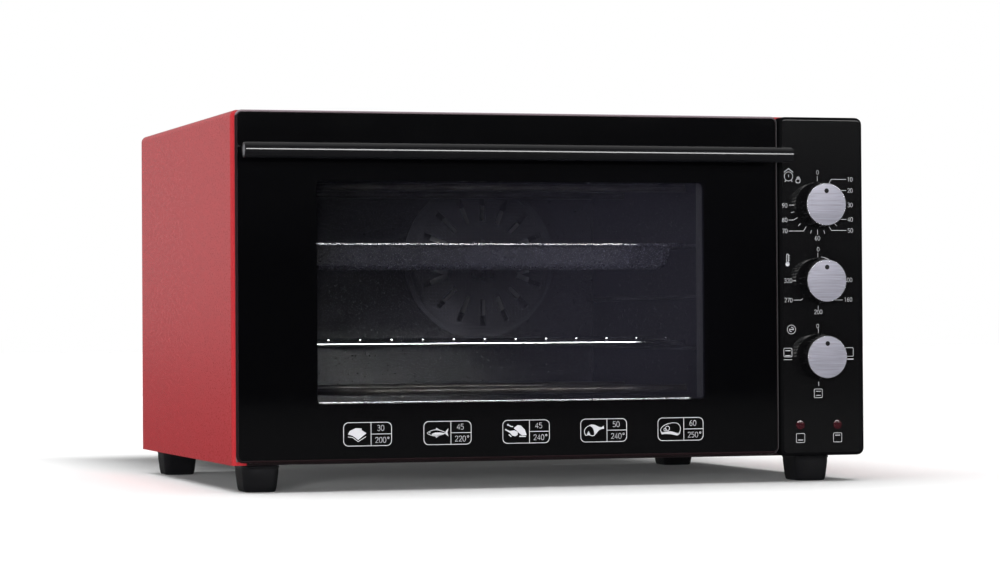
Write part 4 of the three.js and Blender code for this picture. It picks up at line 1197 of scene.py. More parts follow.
@dataclass
class Studio:
    """The white table, the lamps and the camera."""

    camera_place: Triple = (-0.8642, -2.84505, 0.1413)
    yaw: float = math.radians(16.998)
    pitch: float = math.radians(-0.745)
    roll: float = math.radians(-0.351)
    lens: float = 116.417
    sensor: float = 36.0
    ambient: float = 0.1
    mirrored: float = 0.42
    table_side: float = 28.0
    table_sheet: float = 0.02
    table_corner: float = 1.0
    table_grain: float = 8.0
    table_whites: tuple[Colour, Colour] = ((0.94, 0.94, 0.94, 1), (0.96, 0.96, 0.96, 1))
    table_mirrored: Colour = (0.04, 0.04, 0.04, 1)
    table_glow: float = 0.02
    card: Sides = Sides(-4.0, 7.0, 0.003, 9.0)
    card_distance: float = -3.2
    card_sheet: float = 0.001
    card_corner: float = 0.01
    strip: Sides = Sides(-0.1, 1.9, 0.8, 1.35)
    strip_edge: float = 0.04
    strip_strength: float = 22.0
    sheen: Pair = (0.25, 0.62)
    sheen_strength: float = 0.1
    least_sheen: float = 0.02
    flag: Sides = Sides(-0.29, 0.29, 0.235, 0.62)
    flag_height: float = 0.16
    flag_sheet: float = 0.002
    flag_corner: float = 0.02
    lamps: tuple[SoftLamp | SpotLamp, ...] = (
        SoftLamp("top_lamp", (-0.1, 0.03, 1.0), 3.1, 60),
        SoftLamp("side_lamp", (-1.0, -0.25, 0.02), 2.1, 16),
        SoftLamp("front_lamp", (-0.4, -0.9, 0.06), 3.0, 14),
        SpotLamp("window_lamp", (0.583, -1.6, 0.35), (0.07, -0.19, 0.17), 58.0),
    )

    def build(self) -> None:
        """Sets up everything round the oven."""
        self.light_world()
        self.lay_table()
        self.hang_card()
        self.hang_flag()
        for lamp in self.lamps:
            lamp.hang()
        self.place_camera()
        view = bpy.context.scene.view_settings
        view.view_transform = "Standard"

    def light_world(self) -> None:
        """Makes the world white to the camera and to reflections, and softer as a lamp."""
        world = bpy.data.worlds.new("white_room")
        world.use_nodes = True
        tree = world.node_tree
        output = tree.nodes["World Output"]
        plain = tree.nodes["Background"]
        plain.inputs["Color"].default_value = (1, 1, 1, 1)
        plain.inputs["Strength"].default_value = self.ambient
        light = tree.nodes.new("ShaderNodeLightPath")
        shader = plain
        for ray, strength in (("Is Glossy Ray", self.mirrored), ("Is Camera Ray", 1.0)):
            white = tree.nodes.new("ShaderNodeBackground")
            white.inputs["Color"].default_value = (1, 1, 1, 1)
            white.inputs["Strength"].default_value = strength
            mixed = tree.nodes.new("ShaderNodeMixShader")
            tree.links.new(light.outputs[ray], mixed.inputs[0])
            tree.links.new(shader.outputs[0], mixed.inputs[1])
            tree.links.new(white.outputs[0], mixed.inputs[2])
            shader = mixed
        tree.links.new(shader.outputs[0], output.inputs["Surface"])
        bpy.context.scene.world = world

    def put_on_stage(self, name: str, form: Form, material: bpy.types.Material) -> bpy.types.Object:
        """Makes a thing that belongs to the studio and not to the oven.

        Args:
            name: Its name.
            form: Its faces.
            material: Its material.

        Returns:
            The thing.
        """
        mesh = form.mesh(name, smooth=False)
        mesh.materials.append(material)
        made = bpy.data.objects.new(name, mesh)
        bpy.context.scene.collection.objects.link(made)
        return made

    def lay_table(self) -> None:
        """Lays the white table under the feet."""
        wiring = Wiring("white_table")
        grain = wiring.noise(self.table_grain, detail=3.0)
        light = wiring.add("ShaderNodeLightPath")
        white = wiring.blend(grain, *self.table_whites)
        wiring.fix(Base_Color=wiring.blend(light.outputs["Is Glossy Ray"], white, self.table_mirrored))
        wiring.fix(Roughness=0.9, Specular_IOR_Level=0.1)
        wiring.fix(Emission_Color=(1, 1, 1, 1), Emission_Strength=self.table_glow)
        corners = round_corners(Sides.about(0, 0, self.table_side, self.table_side), self.table_corner)
        form = Form().prism(corners, -self.table_sheet, 0.0, facing_up)
        self.put_on_stage("white_table", form, wiring.material)

    def hang_card(self) -> None:
        """Hangs a dark wall with a bright strip in front, seen only by reflections."""
        wiring = Wiring("dark_card")
        parts = wiring.split(wiring.place)
        strip, edge = self.strip, self.strip_edge
        across, up = parts["X"], parts["Z"]
        share = wiring.span(across, (strip.left - edge, strip.left + edge))
        for along, bound, ends in (
            (across, strip.right, WHOLE[::-1]), (up, strip.bottom, WHOLE), (up, strip.top, WHOLE[::-1]),
        ):
            side = wiring.span(along, (bound - edge, bound + edge), ends)
            share = wiring.reckon("MULTIPLY", share, side)
        wiring.fix(Base_Color=(0, 0, 0, 1), Specular_IOR_Level=0.0, Emission_Color=(1, 1, 1, 1))
        glow = wiring.span(share, WHOLE, (0.0, self.strip_strength))
        sheen = wiring.span(up, self.sheen, (self.least_sheen, self.sheen_strength))
        wiring.fix(Emission_Strength=wiring.reckon("ADD", glow, sheen))
        outline = round_corners(self.card, self.card_corner)
        form = Form().prism(outline, self.card_distance, self.card_distance - self.card_sheet)
        card = self.put_on_stage("dark_card", form, wiring.material)
        card.visible_camera = card.visible_diffuse = card.visible_transmission = False
        card.visible_shadow = card.visible_volume_scatter = False

    def hang_flag(self) -> None:
        """Hangs a black flag behind the oven that only keeps light off the table there."""
        wiring = Wiring("black_flag")
        wiring.fix(Base_Color=(0, 0, 0, 1), Specular_IOR_Level=0.0)
        outline = round_corners(self.flag, self.flag_corner)
        form = Form().prism(outline, self.flag_height, self.flag_height + self.flag_sheet, facing_up)
        flag = self.put_on_stage("black_flag", form, wiring.material)
        flag.visible_camera = flag.visible_glossy = flag.visible_transmission = False

    def place_camera(self) -> None:
        """Puts the camera where the photograph was taken from."""
        flat = math.cos(self.pitch)
        ahead = Vector((math.sin(self.yaw) * flat, math.cos(self.yaw) * flat, -math.sin(self.pitch)))
        right = Vector((math.cos(self.yaw), -math.sin(self.yaw), 0))
        upright = right.cross(ahead)
        tilt, lean = math.cos(self.roll), math.sin(self.roll)
        across, up = right * tilt + upright * lean, upright * tilt - right * lean
        turned = Matrix((across, up, -ahead)).transposed().to_4x4()
        data = bpy.data.cameras.new("camera")
        data.lens = self.lens
        data.sensor_width = self.sensor
        camera = bpy.data.objects.new("camera", data)
        camera.matrix_world = Matrix.Translation(self.camera_place) @ turned
        bpy.context.scene.collection.objects.link(camera)
        bpy.context.scene.camera = camera
        LOG.info("the camera stands %.2f m in front", -self.camera_place[1])


@dataclass
class RedShell:
    """The red cabinet: one sheet bent over both sides and the top, with rolled edges."""

    roll: float = 0.0052
    rear_roll: float = 0.0016
    corner: float = 0.006
    lip: float = 0.012
    sheet: float = 0.0009
    steps: int = 8

    def profile(self, front: float, rear: float) -> list[Pair]:
        """Lists the sheet's section as inset and depth, all the way round it.

        Args:
            front: The depth of the front edge.
            rear: The depth of the rear edge.

        Returns:
            The section's points.
        """
        bend, fold, sheet = self.roll, self.rear_roll, self.sheet
        near, far = (bend, front + bend), (fold, rear - fold)
        points = [(self.lip, front)]
        points += arc(near, bend, -QUARTER_TURN, -2 * QUARTER_TURN, self.steps)
        points += arc(far, fold, 2 * QUARTER_TURN, QUARTER_TURN, self.steps)
        points += [(self.lip, rear), (self.lip, rear - sheet)]
        points += arc(far, fold - sheet, QUARTER_TURN, 2 * QUARTER_TURN, self.steps)
        points += arc(near, bend - sheet, -2 * QUARTER_TURN, -QUARTER_TURN, self.steps)
        return points + [(self.lip, front + self.sheet)]

    def place(self, sides: Sides, side: Side, angle: float | None, inset: float) -> Pair:
        """Finds one point of the bent sheet.

        Args:
            sides: The shell's outside.
            side: Left or right.
            angle: The turn round the top corner, or None at the foot.
            inset: How far inside the outer face the point lies.

        Returns:
            The point across and up.
        """
        wall = sides.left if side is Side.LEFT else sides.right
        inward = -side.value
        if angle is None:
            return (wall + inward * inset, sides.bottom)
        if inset >= self.corner:
            return (wall + inward * inset, sides.top - inset)
        reach = self.corner - inset
        x = wall + inward * (self.corner - reach * math.cos(angle))
        return (x, sides.top - self.corner + reach * math.sin(angle))

    def build(self) -> None:
        """Sweeps the section up one side, over the top and down the other."""
        low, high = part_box("outer_shell")
        sides = Sides.of_node("outer_shell")
        section = self.profile(low.y, high.y)
        bends = [step / self.steps * QUARTER_TURN for step in range(self.steps + 1)]
        stations = [(Side.LEFT, None)] + [(Side.LEFT, angle) for angle in bends]
        stations += [(Side.RIGHT, angle) for angle in bends[::-1]] + [(Side.RIGHT, None)]
        rings = []
        for side, angle in stations:
            row = []
            for inset, depth in section:
                x, z = self.place(sides, side, angle, inset)
                row.append(Vector((x, depth, z)))
            rings.append(row)
        form = Form().skin(rings)
        add_piece("red_shell", form, Body.CABINET, Finishes.red_enamel, stands_for=("outer_shell",))


@dataclass
class CrossScrew:
    """A pan-head screw with a cross-shaped recess.

    The dome lists shares of the head's radius and drops below its top.
    """

    head_height: float = 0.0023
    arm_reach: float = 0.62
    arm_width: float = 0.17
    recess: float = 0.0013
    recess_floor_share: float = 0.8
    tip_share: float = 0.45
    shank_share: float = 0.5
    seat_share: float = 0.96
    edge: float = 0.0004
    dome: tuple[Pair, ...] = ((0.98, 0.0012), (0.88, 0.0005), (0.7, 0.0))
    steps: int = 96

    def cross(self, middle: Vector, radius: float) -> list[Vector]:
        """Lists the outline of the recess.

        Args:
            middle: Its middle.
            radius: The head's radius.

        Returns:
            The outline.
        """
        points = []
        reach, width = radius * self.arm_reach, radius * self.arm_width
        for step in range(self.steps):
            angle = FULL_TURN * (step + 0.5) / self.steps
            flat, steep = abs(math.cos(angle)), abs(math.sin(angle))
            span = max(min(reach / flat, width / steep), min(reach / steep, width / flat))
            points.append(middle + Vector((math.cos(angle), 0, math.sin(angle))) * span)
        return points

    def circle(self, middle: Vector, radius: float) -> list[Vector]:
        """Lists a circle of as many points as the recess."""
        angles = [FULL_TURN * (step + 0.5) / self.steps for step in range(self.steps)]
        return [middle + Vector((math.cos(a), 0, math.sin(a))) * radius for a in angles]

    def build(self, node: str, body: Body) -> None:
        """Shapes one screw in place of its node, with its head to the rear.

        Args:
            node: The node.
            body: The body it rides on.
        """
        low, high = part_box(node)
        middle = middle_of(node)
        radius, top = (high.x - low.x) / 2, high.y
        under, shank = top - self.head_height, radius * self.shank_share
        profile = [(radius * self.tip_share, low.y), (shank, low.y + self.edge), (shank, under)]
        profile += [(radius * self.seat_share, under), (radius, under + self.edge)]
        profile += [(radius * share, top - drop) for share, drop in self.dome]
        rings = [self.circle(middle + BACKWARD * depth, reach) for reach, depth in profile]
        rings += [self.cross(middle + BACKWARD * top, radius)]
        floor = middle + BACKWARD * (top - self.recess)
        rings += [self.cross(floor, radius * self.recess_floor_share)]
        form = Form().skin(rings)
        add_piece(f"{node}_cross", form, body, Finishes.screw_head, stands_for=(node,))


@dataclass
class Foot:
    """A moulded foot that narrows towards the table.

    The collar lists insets and drops below the top. The sole lists insets past the taper
    and heights over the table.
    """

    corner: float = 0.007
    corner_steps: int = 8
    taper: float = 0.0025
    taper_shares: tuple[float, ...] = (0.25, 0.5, 0.75)
    collar: tuple[Pair, ...] = (
        (0.0008, 0.0), (0.0001, 0.0004), (0.0, 0.001), (0.0, 0.0022), (0.0006, 0.0025),
    )
    sole: tuple[Pair, ...] = ((0.0, 0.0022), (0.0004, 0.0009), (0.0011, 0.0002), (0.002, 0.0))

    def build(self, node: str) -> None:
        """Shapes one foot in place of its node.

        Args:
            node: The node.
        """
        low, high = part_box(node)
        sides = Sides.from_above(node)
        tall = high.z - low.z
        levels = [(inset, tall - drop) for inset, drop in self.collar]
        levels += [(self.taper * share, tall * (1 - share)) for share in self.taper_shares]
        levels += [(self.taper + inset, height) for inset, height in self.sole]
        rings = []
        for inset, height in levels:
            outline = round_corners(sides.inset(inset), self.corner - inset / 2, self.corner_steps)
            rings.append(ring(outline, low.z + height, facing_up))
        name = node.replace("foot_", "") + "_foot"
        add_piece(name, Form().skin(rings), Body.CABINET, Finishes.black_foot, stands_for=(node,))


@dataclass
class Cabinet:
    """The fixed housing: shell, frame, pan, back, feet and what hides inside."""

    shell: RedShell = field(default_factory=RedShell)
    screw: CrossScrew = field(default_factory=CrossScrew)
    foot: Foot = field(default_factory=Foot)
    feet: tuple[str, ...] = ("foot_front_left", "foot_front_right", "foot_rear_left", "foot_rear_right")
    screws: tuple[str, ...] = ("back_screw_1", "back_screw_2", "back_screw_3", "back_screw_4")
    cover_edge: float = 0.0002
    bush_edge: float = 0.0003

    def build(self) -> None:
        """Builds the housing's own pieces."""
        self.shell.build()
        for node in self.feet:
            self.foot.build(node)
        for node in self.screws:
            self.screw.build(node, Body.CABINET)
        recast("back_panel", Body.CABINET, Finishes.dark_steel, self.cover_edge, "rear_cover")
        recast("cord_gland", Body.CABINET, Finishes.black_foot, self.bush_edge, "lead_bush")

    def dress(self) -> None:
        """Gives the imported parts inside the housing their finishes."""
        # The front frame gets the near-black painted shade of the gaps round the door.
        dress_nodes(Finishes.dark_frame, "front_frame")
        dress_nodes(Finishes.zinc_steel, "base_pan", "partition_plate")
        dress_nodes(Finishes.zinc_steel, "door_spring_left", "door_spring_right")
        dress_nodes(Finishes.grey_plastic, "timer_body", "thermostat_body", "selector_body")
        dress_nodes(Finishes.grey_plastic, "terminal_block")


@dataclass
class Cavity:
    """The heated space: liner, heaters, probe and fan."""

    heater_radius: float = 0.0034
    heater_bend: float = 0.085
    heater_lead: float = 0.001
    bend_steps: int = 32
    round_steps: int = 20

    def build(self) -> None:
        """Builds the cavity's own pieces."""
        recast("cavity_liner", Body.CABINET, Finishes.dark_enamel, 0.0, "oven_liner")
        self.bend_heater("top_heater")
        self.bend_heater("bottom_heater")
        recast("thermostat_probe", Body.CABINET, Finishes.bright_wire, 0.0, "heat_probe")
        recast("fan_guard", Body.CABINET, Finishes.fan_steel, 0.0, "fan_cover")
        recast("fan_impeller", Body.FAN, Finishes.zinc_steel, 0.0, "fan_wheel")

    def bend_heater(self, node: str) -> None:
        """Bends one heater into its loop, with both ends through the right wall.

        Args:
            node: The heater's node.
        """
        low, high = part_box(node)
        bend = self.heater_bend
        height, middle = (low.z + high.z) / 2, (low.y + high.y) / 2
        turn = low.x + (high.y - low.y) / 2
        lead = turn + self.heater_lead
        places = [(high.x, middle - bend), (lead, middle - bend)]
        places += arc((turn, middle), bend, -QUARTER_TURN, -3 * QUARTER_TURN, self.bend_steps)
        places += [(lead, middle + bend), (high.x, middle + bend)]
        path = [Vector((x, y, height)) for x, y in places]
        form = Form().tube(path, self.heater_radius, self.round_steps)
        name = node.replace("heater", "element")
        add_piece(name, form, Body.CABINET, Finishes.heater_sheath, stands_for=(node,))

    def dress(self) -> None:
        """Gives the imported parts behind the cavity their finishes."""
        dress_nodes(Finishes.zinc_steel, "fan_shaft")
        dress_nodes(Finishes.dark_steel, "fan_motor")


@dataclass
class WireRack:
    """The chromed rack: a round rail bent into a loop with thinner wires across it.

    The dome of a wire's end lists shares of its radius and distances from its tip.
    """

    rail: float = 0.0025
    rail_corner: float = 0.014
    wire: float = 0.0015
    pitch: float = 0.0285
    wires: int = 13
    overlap_share: float = 0.6
    dome: tuple[Pair, ...] = (
        (0.0, 0.0), (0.33, 0.00001), (0.6, 0.00005), (0.82, 0.00011), (0.94, 0.0002), (1.0, 0.0005),
    )
    corner_steps: int = 10
    rail_steps: int = 18
    wire_steps: int = 16

    def build(self) -> None:
        """Bends the rail and lays the wires."""
        low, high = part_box("wire_rack")
        sides = Sides.from_above("wire_rack").inset(self.rail)
        level = low.z + self.rail
        outline = round_corners(sides, self.rail_corner, self.corner_steps)
        path = [Vector((x, y, level)) for x, y in outline]
        form = Form().tube(path, self.rail, self.rail_steps, loop=True)
        middle = (low.x + high.x) / 2
        for at in range(self.wires):
            x = middle + (at - (self.wires - 1) / 2) * self.pitch
            self.lay_wire(form, x, sides, high.z - self.wire)
        add_piece(
            "chrome_rack", form, Body.RACK, Finishes.bright_wire, stands_for=("wire_rack",), weld=False
        )

    def lay_wire(self, form: Form, x: float, sides: Sides, level: float) -> None:
        """Lays one wire from front to back, with domed ends.

        Args:
            form: What the wire is added to.
            x: Its place across the rack.
            sides: The middle line of the rail.
            level: The height of its middle.
        """
        overlap = self.rail * self.overlap_share
        start, length = sides.bottom - overlap, sides.top - sides.bottom + overlap * 2
        profile = [(self.wire * share, along) for share, along in self.dome]
        profile += [(radius, length - along) for radius, along in profile[::-1]]
        form.turn(profile, Vector((x, start, level)), BACKWARD, self.wire_steps)


@dataclass
class BakingTray:
    """The enamelled tray: a pressed pan with a flat rim and a rolled bead.

    The levels list insets and heights, from the middle of its floor up over the bead and
    back to the middle of its underside.
    """

    corner: float = 0.022
    least_corner: float = 0.008
    corner_steps: int = 12
    levels: tuple[Pair, ...] = (
        (0.030, 0.0010), (0.0215, 0.0010), (0.0185, 0.0017), (0.0166, 0.0036), (0.0152, 0.0062),
        (0.0105, 0.0205), (0.0096, 0.0226), (0.0080, 0.0237), (0.0062, 0.0240), (0.0012, 0.0240),
        (0.0004, 0.0237), (0.00018, 0.0231), (0.0, 0.0216), (0.0003, 0.0211), (0.0012, 0.0209),
        (0.0020, 0.0213), (0.0024, 0.0226), (0.0064, 0.0230), (0.0078, 0.0227), (0.0090, 0.0218),
        (0.0114, 0.0202), (0.0161, 0.0058), (0.0175, 0.0030), (0.0195, 0.0010), (0.0222, 0.0),
        (0.031, 0.0),
    )

    def build(self) -> None:
        """Presses the tray."""
        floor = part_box("baking_tray")[0].z
        sides = Sides.from_above("baking_tray")
        rings = []
        for inset, height in self.levels:
            corner = max(self.corner - inset, self.least_corner)
            outline = round_corners(sides.inset(inset), corner, self.corner_steps)
            rings.append(ring(outline, floor + height, facing_up))
        form = Form().skin(rings)
        add_piece("enamel_tray", form, Body.TRAY, Finishes.tray_enamel, stands_for=("baking_tray",))


@dataclass(frozen=True)
class Picture:
    """A small picture or a dial, in millimetres about its middle."""

    pen: float = 0.36
    fills: tuple[Stroke, ...] = ()
    strokes: tuple[Stroke, ...] = ()
    loops: tuple[Stroke, ...] = ()
    rings: tuple[Triple, ...] = ()
    dots: tuple[Triple, ...] = ()
    boxes: tuple[tuple[float, float, float, float, float], ...] = ()
    numbers: tuple[tuple[str, float, float], ...] = ()
    digit: float = 3.7

    def draw(self, marks: Print, middle: Pair) -> None:
        """Draws the picture.

        Args:
            marks: The print that it is drawn in.
            middle: The picture's middle.
        """
        across, up = middle
        for fill in self.fills:
            marks.patch(shifted(fill, middle))
        for stroke in self.strokes:
            marks.path(shifted(stroke, middle), self.pen)
        for loop in self.loops:
            marks.outline(shifted(loop, middle), self.pen)
        for x, z, radius in self.rings:
            marks.circle((across + x, up + z), radius, self.pen)
        for x, z, radius in self.dots:
            marks.disc((across + x, up + z), radius)
        for x, z, width, height, corner in self.boxes:
            marks.box(Sides.about(across + x, up + z, width, height), corner, self.pen)
        for words, x, z in self.numbers:
            marks.number(words, (across + x, up + z), self.digit)


@dataclass
class FoodBadge:
    """A printed badge: a food picture and two numbers in a round-cornered box."""

    picture: Picture
    upper: str
    lower: str
    width: float = 42.5
    height: float = 20.3
    corner: float = 4.4
    stroke: float = 0.55
    split: float = 0.57
    column: float = 0.46
    digit: float = 4.7
    degree: tuple[float, float, float, float] = (-3.1, 1.7, 0.7, 0.4)

    def draw(self, marks: Print, left: float) -> None:
        """Draws the badge.

        Args:
            marks: The print that it is drawn in.
            left: The place of its left side.
        """
        right = left + self.width
        marks.box(Sides(left, right, 0, self.height), self.corner, self.stroke)
        divide = left + self.width * self.split
        half = self.height / 2
        marks.path(((divide, self.stroke), (divide, self.height - self.stroke)), self.stroke)
        marks.path(((divide, half), (right - self.stroke, half)), self.stroke)
        self.picture.draw(marks, (left + self.width * self.split / 2, half))
        column = divide + (right - divide) * self.column
        lower = half / 2
        for words, level in ((self.upper, half + lower), (self.lower, lower)):
            marks.number(words, (column, level), self.digit)
        x, z, radius, width = self.degree
        marks.circle((right + x, lower + z), radius, width)


TOAST = Picture(
    pen=0.55,
    fills=(
        ((-8.1, 0), (-4.1, -1.2), (-1.7, -2.9), (0.8, -4.9), (4.7, -1.7), (8.1, 0.8), (3.7, 3.5),
         (4.1, 4.9), (-1.2, 5.2), (-6.4, 2.9)),
    ),
    strokes=(((-8.1, -2.1), (-4.1, -2.6), (0.8, -6.2), (7.6, -2.1)),),
)
FISH = Picture(
    fills=(
        ((7, 0.7), (10, 4), (9, 0), (10, -3), (7, -0.8)),
        ((-2, 2.6), (-0.6, 4.4), (2.4, 2.5)),
        ((-4.6, -0.6), (-1.5, 0.4), (2.4, 0.4), (7, -0.2), (3, -1.8), (1.2, -2.6), (-0.6, -4.1),
         (-2.4, -2.8), (-5.4, -2.2)),
    ),
    loops=(
        ((-9, 0), (-6.6, -1.7), (-2.4, -2.9), (2.6, -2.1), (7, -0.6), (7, 0.7), (2.6, 2.4), (-2.4, 2.9),
         (-6.6, 1.8)),
    ),
    dots=((-6.6, 0.4, 0.5),),
    pen=0.5,
)
ROAST = Picture(
    fills=(
        ((-2, 3.2), (-0.8, 2), (1.2, 0.2), (3.2, -1.6), (5.5, -3.3), (9.5, -3), (8, 1.5), (4.5, 5.2),
         (1.5, 5.6)),
        ((-9.2, 1.2), (-5.5, -0.9), (-3.6, -3.2), (-0.6, -3.9), (1.6, -2.6), (1.5, -0.2), (-1.5, 1.2),
         (-5.5, 0.7), (-9, 2.3)),
    ),
    strokes=(((-7, 6), (-4.6, 4.6), (-2.6, 4.4)), ((-6.6, -2.3), (-4.2, -4.2)), ((3, -4), (8.8, -4.1))),
    dots=((-7.2, 6, 0.8), (-9.2, 1.9, 0.7)),
    pen=0.9,
)
HAM = Picture(
    fills=(
        ((-4.5, 4.4), (-1.8, 3.6), (0, 1.6), (0.9, -1.5), (0.6, -4.6), (2, -3), (4.8, 0.2), (7.4, 1.2),
         (9.4, 1.4), (9.2, 4), (7.4, 2.7), (5, 2.9), (1.5, 4.6), (-2, 5.2)),
    ),
    loops=(
        ((-8.6, -2), (-7.4, -4.4), (-4.6, -4), (-1.6, -4.9), (0.8, -4.2), (0.9, -1), (-0.4, 2.4),
         (-3.4, 4.4), (-6.8, 3), (-8.6, 0.4)),
    ),
    strokes=(((-6, -3.6), (-4.7, -0.8), (-3.4, -3.8)),),
    dots=((-4.7, -2.8, 0.7),),
    pen=0.6,
)
STEAK = Picture(
    fills=(
        ((-9.6, -1.2), (-8.4, -4.4), (-5, -4), (0, -4.3), (6, -5.6), (8.4, -4.2), (8.9, -2), (6.5, -3.8),
         (0, -2.3), (-5, -2.5), (-8.2, -2.6)),
    ),
    loops=(
        ((-9.6, -1), (-8, -2.8), (-5, -2.6), (0, -2.4), (6.5, -3.9), (8.8, -2), (9, 2), (6.3, 5.2),
         (1, 5.7), (-5, 4.2), (-8.6, 1.6)),
    ),
    rings=((-3, 0.8, 1.9), (-5.2, -0.2, 1.1)),
    pen=0.5,
)


@dataclass
class HandleBar:
    """The round bar across the door, with a plug in each end and two posts.

    The plug's dome and the post's foot list shares of the radius and distances along it.
    """

    plug: float = 0.0052
    edge: float = 0.0009
    edge_share: float = 0.3
    seat: float = 0.0006
    gap: float = 0.00025
    plug_depth: float = 0.0008
    plug_dome: tuple[Pair, ...] = ((0.0, 0.0), (1.0, 0.0), (1.0, 0.0004), (0.8, 0.0007))
    post_foot: tuple[Pair, ...] = ((0.5, 0.0), (0.96, 0.0), (1.0, 0.0004), (1.0, 0.0022), (0.9, 0.003))
    post_waist_share: float = 0.86
    post_bore_share: float = 0.5
    bar_steps: int = 64
    plug_steps: int = 40

    def build(self) -> None:
        """Turns the bar, its plugs and its posts."""
        low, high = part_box("handle_bar")
        radius = (high.z - low.z) / 2
        start = Vector((low.x, (low.y + high.y) / 2, (low.z + high.z) / 2))
        length = high.x - low.x
        bevel = self.edge * self.edge_share
        profile = [(0.0, self.seat), (self.plug, self.seat), (self.plug, 0.0), (radius - self.edge, 0.0)]
        profile += [(radius - bevel, bevel), (radius, self.edge)]
        profile += [(reach, length - along) for reach, along in profile[::-1]]
        form = Form().turn(profile, start, RIGHTWARD, self.bar_steps)
        add_piece("door_bar", form, Body.DOOR, Finishes.black_bar, stands_for=("handle_bar",))
        plug_left = start + RIGHTWARD * self.plug_depth
        plug_right = start + RIGHTWARD * (length - self.plug_depth)
        self.fit_plug("bar_plug_left", plug_left, -RIGHTWARD)
        self.fit_plug("bar_plug_right", plug_right, RIGHTWARD)
        for side in ("left", "right"):
            self.turn_post(f"handle_post_{side}")

    def fit_plug(self, name: str, middle: Vector, along: Vector) -> None:
        """Fits one end plug, a little domed.

        Args:
            name: The plug's name.
            middle: The middle of its inner face.
            along: The way it looks.
        """
        reach = self.plug - self.gap
        profile = [(reach * share, rise) for share, rise in self.plug_dome]
        profile += [(0.0, self.plug_depth)]
        form = Form().turn(profile, middle, along, self.plug_steps)
        add_piece(name, form, Body.DOOR, Finishes.bar_end)

    def turn_post(self, node: str) -> None:
        """Turns one post between the glass and the bar.

        Args:
            node: The post's node.
        """
        low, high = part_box(node)
        radius, length = (high.z - low.z) / 2, high.y - low.y
        waist = radius * self.post_waist_share
        profile = [(radius * share, along) for share, along in self.post_foot]
        profile += [(waist, length / 2), (waist, length), (radius * self.post_bore_share, length)]
        form = Form().turn(profile, middle_of(node, high.y), FORWARD)
        name = node.replace("handle_", "bar_")
        add_piece(name, form, Body.DOOR, Finishes.black_bar, stands_for=(node,))


@dataclass
class Door:
    """The drop-down door: front glass, print, bar, inner frame and inner glass."""

    window: Sides = Sides(-0.2145, 0.1335, 0.0745, 0.263)
    window_corner: float = 0.004
    window_gap: float = 0.00002
    bar: HandleBar = field(default_factory=HandleBar)
    corner: float = 0.006
    corner_steps: int = 8
    edge_steps: int = 6
    pan_edge: float = 0.0003
    glass_edge: float = 0.0004
    hinge_edge: float = 0.0002
    badge_foot: float = 0.0382
    badge_lefts: tuple[float, ...] = (92.6, 163.0, 233.3, 303.7, 374.5)
    badges: tuple[FoodBadge, ...] = (
        FoodBadge(TOAST, "30", "200"),
        FoodBadge(FISH, "45", "220"),
        FoodBadge(ROAST, "45", "240"),
        FoodBadge(HAM, "50", "240"),
        FoodBadge(STEAK, "60", "250"),
    )

    def build(self) -> None:
        """Builds the door's own pieces."""
        self.cut_glass()
        self.print_badges()
        self.bar.build()
        recast("door_frame", Body.DOOR, Finishes.dark_steel, self.pan_edge, "door_pan")
        recast("glass_retainer", Body.DOOR, Finishes.bright_wire, self.glass_edge, "glass_strip")
        recast("inner_glass", Body.DOOR, Finishes.rear_pane, self.glass_edge, "rear_glass")
        for side in ("left", "right"):
            for piece, body in (("arm", Body.DOOR), ("bracket", Body.CABINET)):
                node, name = f"hinge_{piece}_{side}", f"{piece}_{side}"
                recast(node, body, Finishes.zinc_steel, self.hinge_edge, name)

    def cut_glass(self) -> None:
        """Cuts the front glass: a black printed border round a tinted window."""
        low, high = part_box("door_glass")
        outside, inside = Sides.of_node("door_glass"), self.window
        front, back, round_edge = low.y, high.y, (high.y - low.y) / 2
        hole = round_corners(inside, self.window_corner, self.corner_steps)
        rim = []
        for inset, depth in arc((0, 0), round_edge, QUARTER_TURN, -QUARTER_TURN, self.edge_steps * 2):
            reach = round_edge - inset
            outline = round_corners(outside.inset(reach), self.corner - reach, self.corner_steps)
            rim.append(ring(outline, front + round_edge + depth))
        border = Form().skin([rim[-1], ring(hole, front), ring(hole, back), rim[0]], caps=False)
        border.skin(rim, caps=False, finish=1)
        add_piece(
            "black_glass", border, Body.DOOR, Finishes.printed_glass, Finishes.ground_edge,
            stands_for=("door_glass",),
        )
        outline = round_corners(inside.inset(self.window_gap), self.window_corner, self.corner_steps)
        pane = Form().prism(outline, front, back)
        add_piece("window_glass", pane, Body.DOOR, Finishes.window_pane)

    def print_badges(self) -> None:
        """Prints the row of badges under the window."""
        low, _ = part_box("door_glass")
        marks = Print(low.y, (cad_bounds[0].x, self.badge_foot))
        for badge, left in zip(self.badges, self.badge_lefts):
            badge.draw(marks, left)
        marks.finish("door_badges", Body.DOOR, Finishes.ink)

    def dress(self) -> None:
        """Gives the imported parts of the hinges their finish."""
        dress_nodes(Finishes.zinc_steel, "hinge_pin_left", "hinge_pin_right")
        dress_nodes(Finishes.zinc_steel, "handle_screw_left", "handle_screw_right")


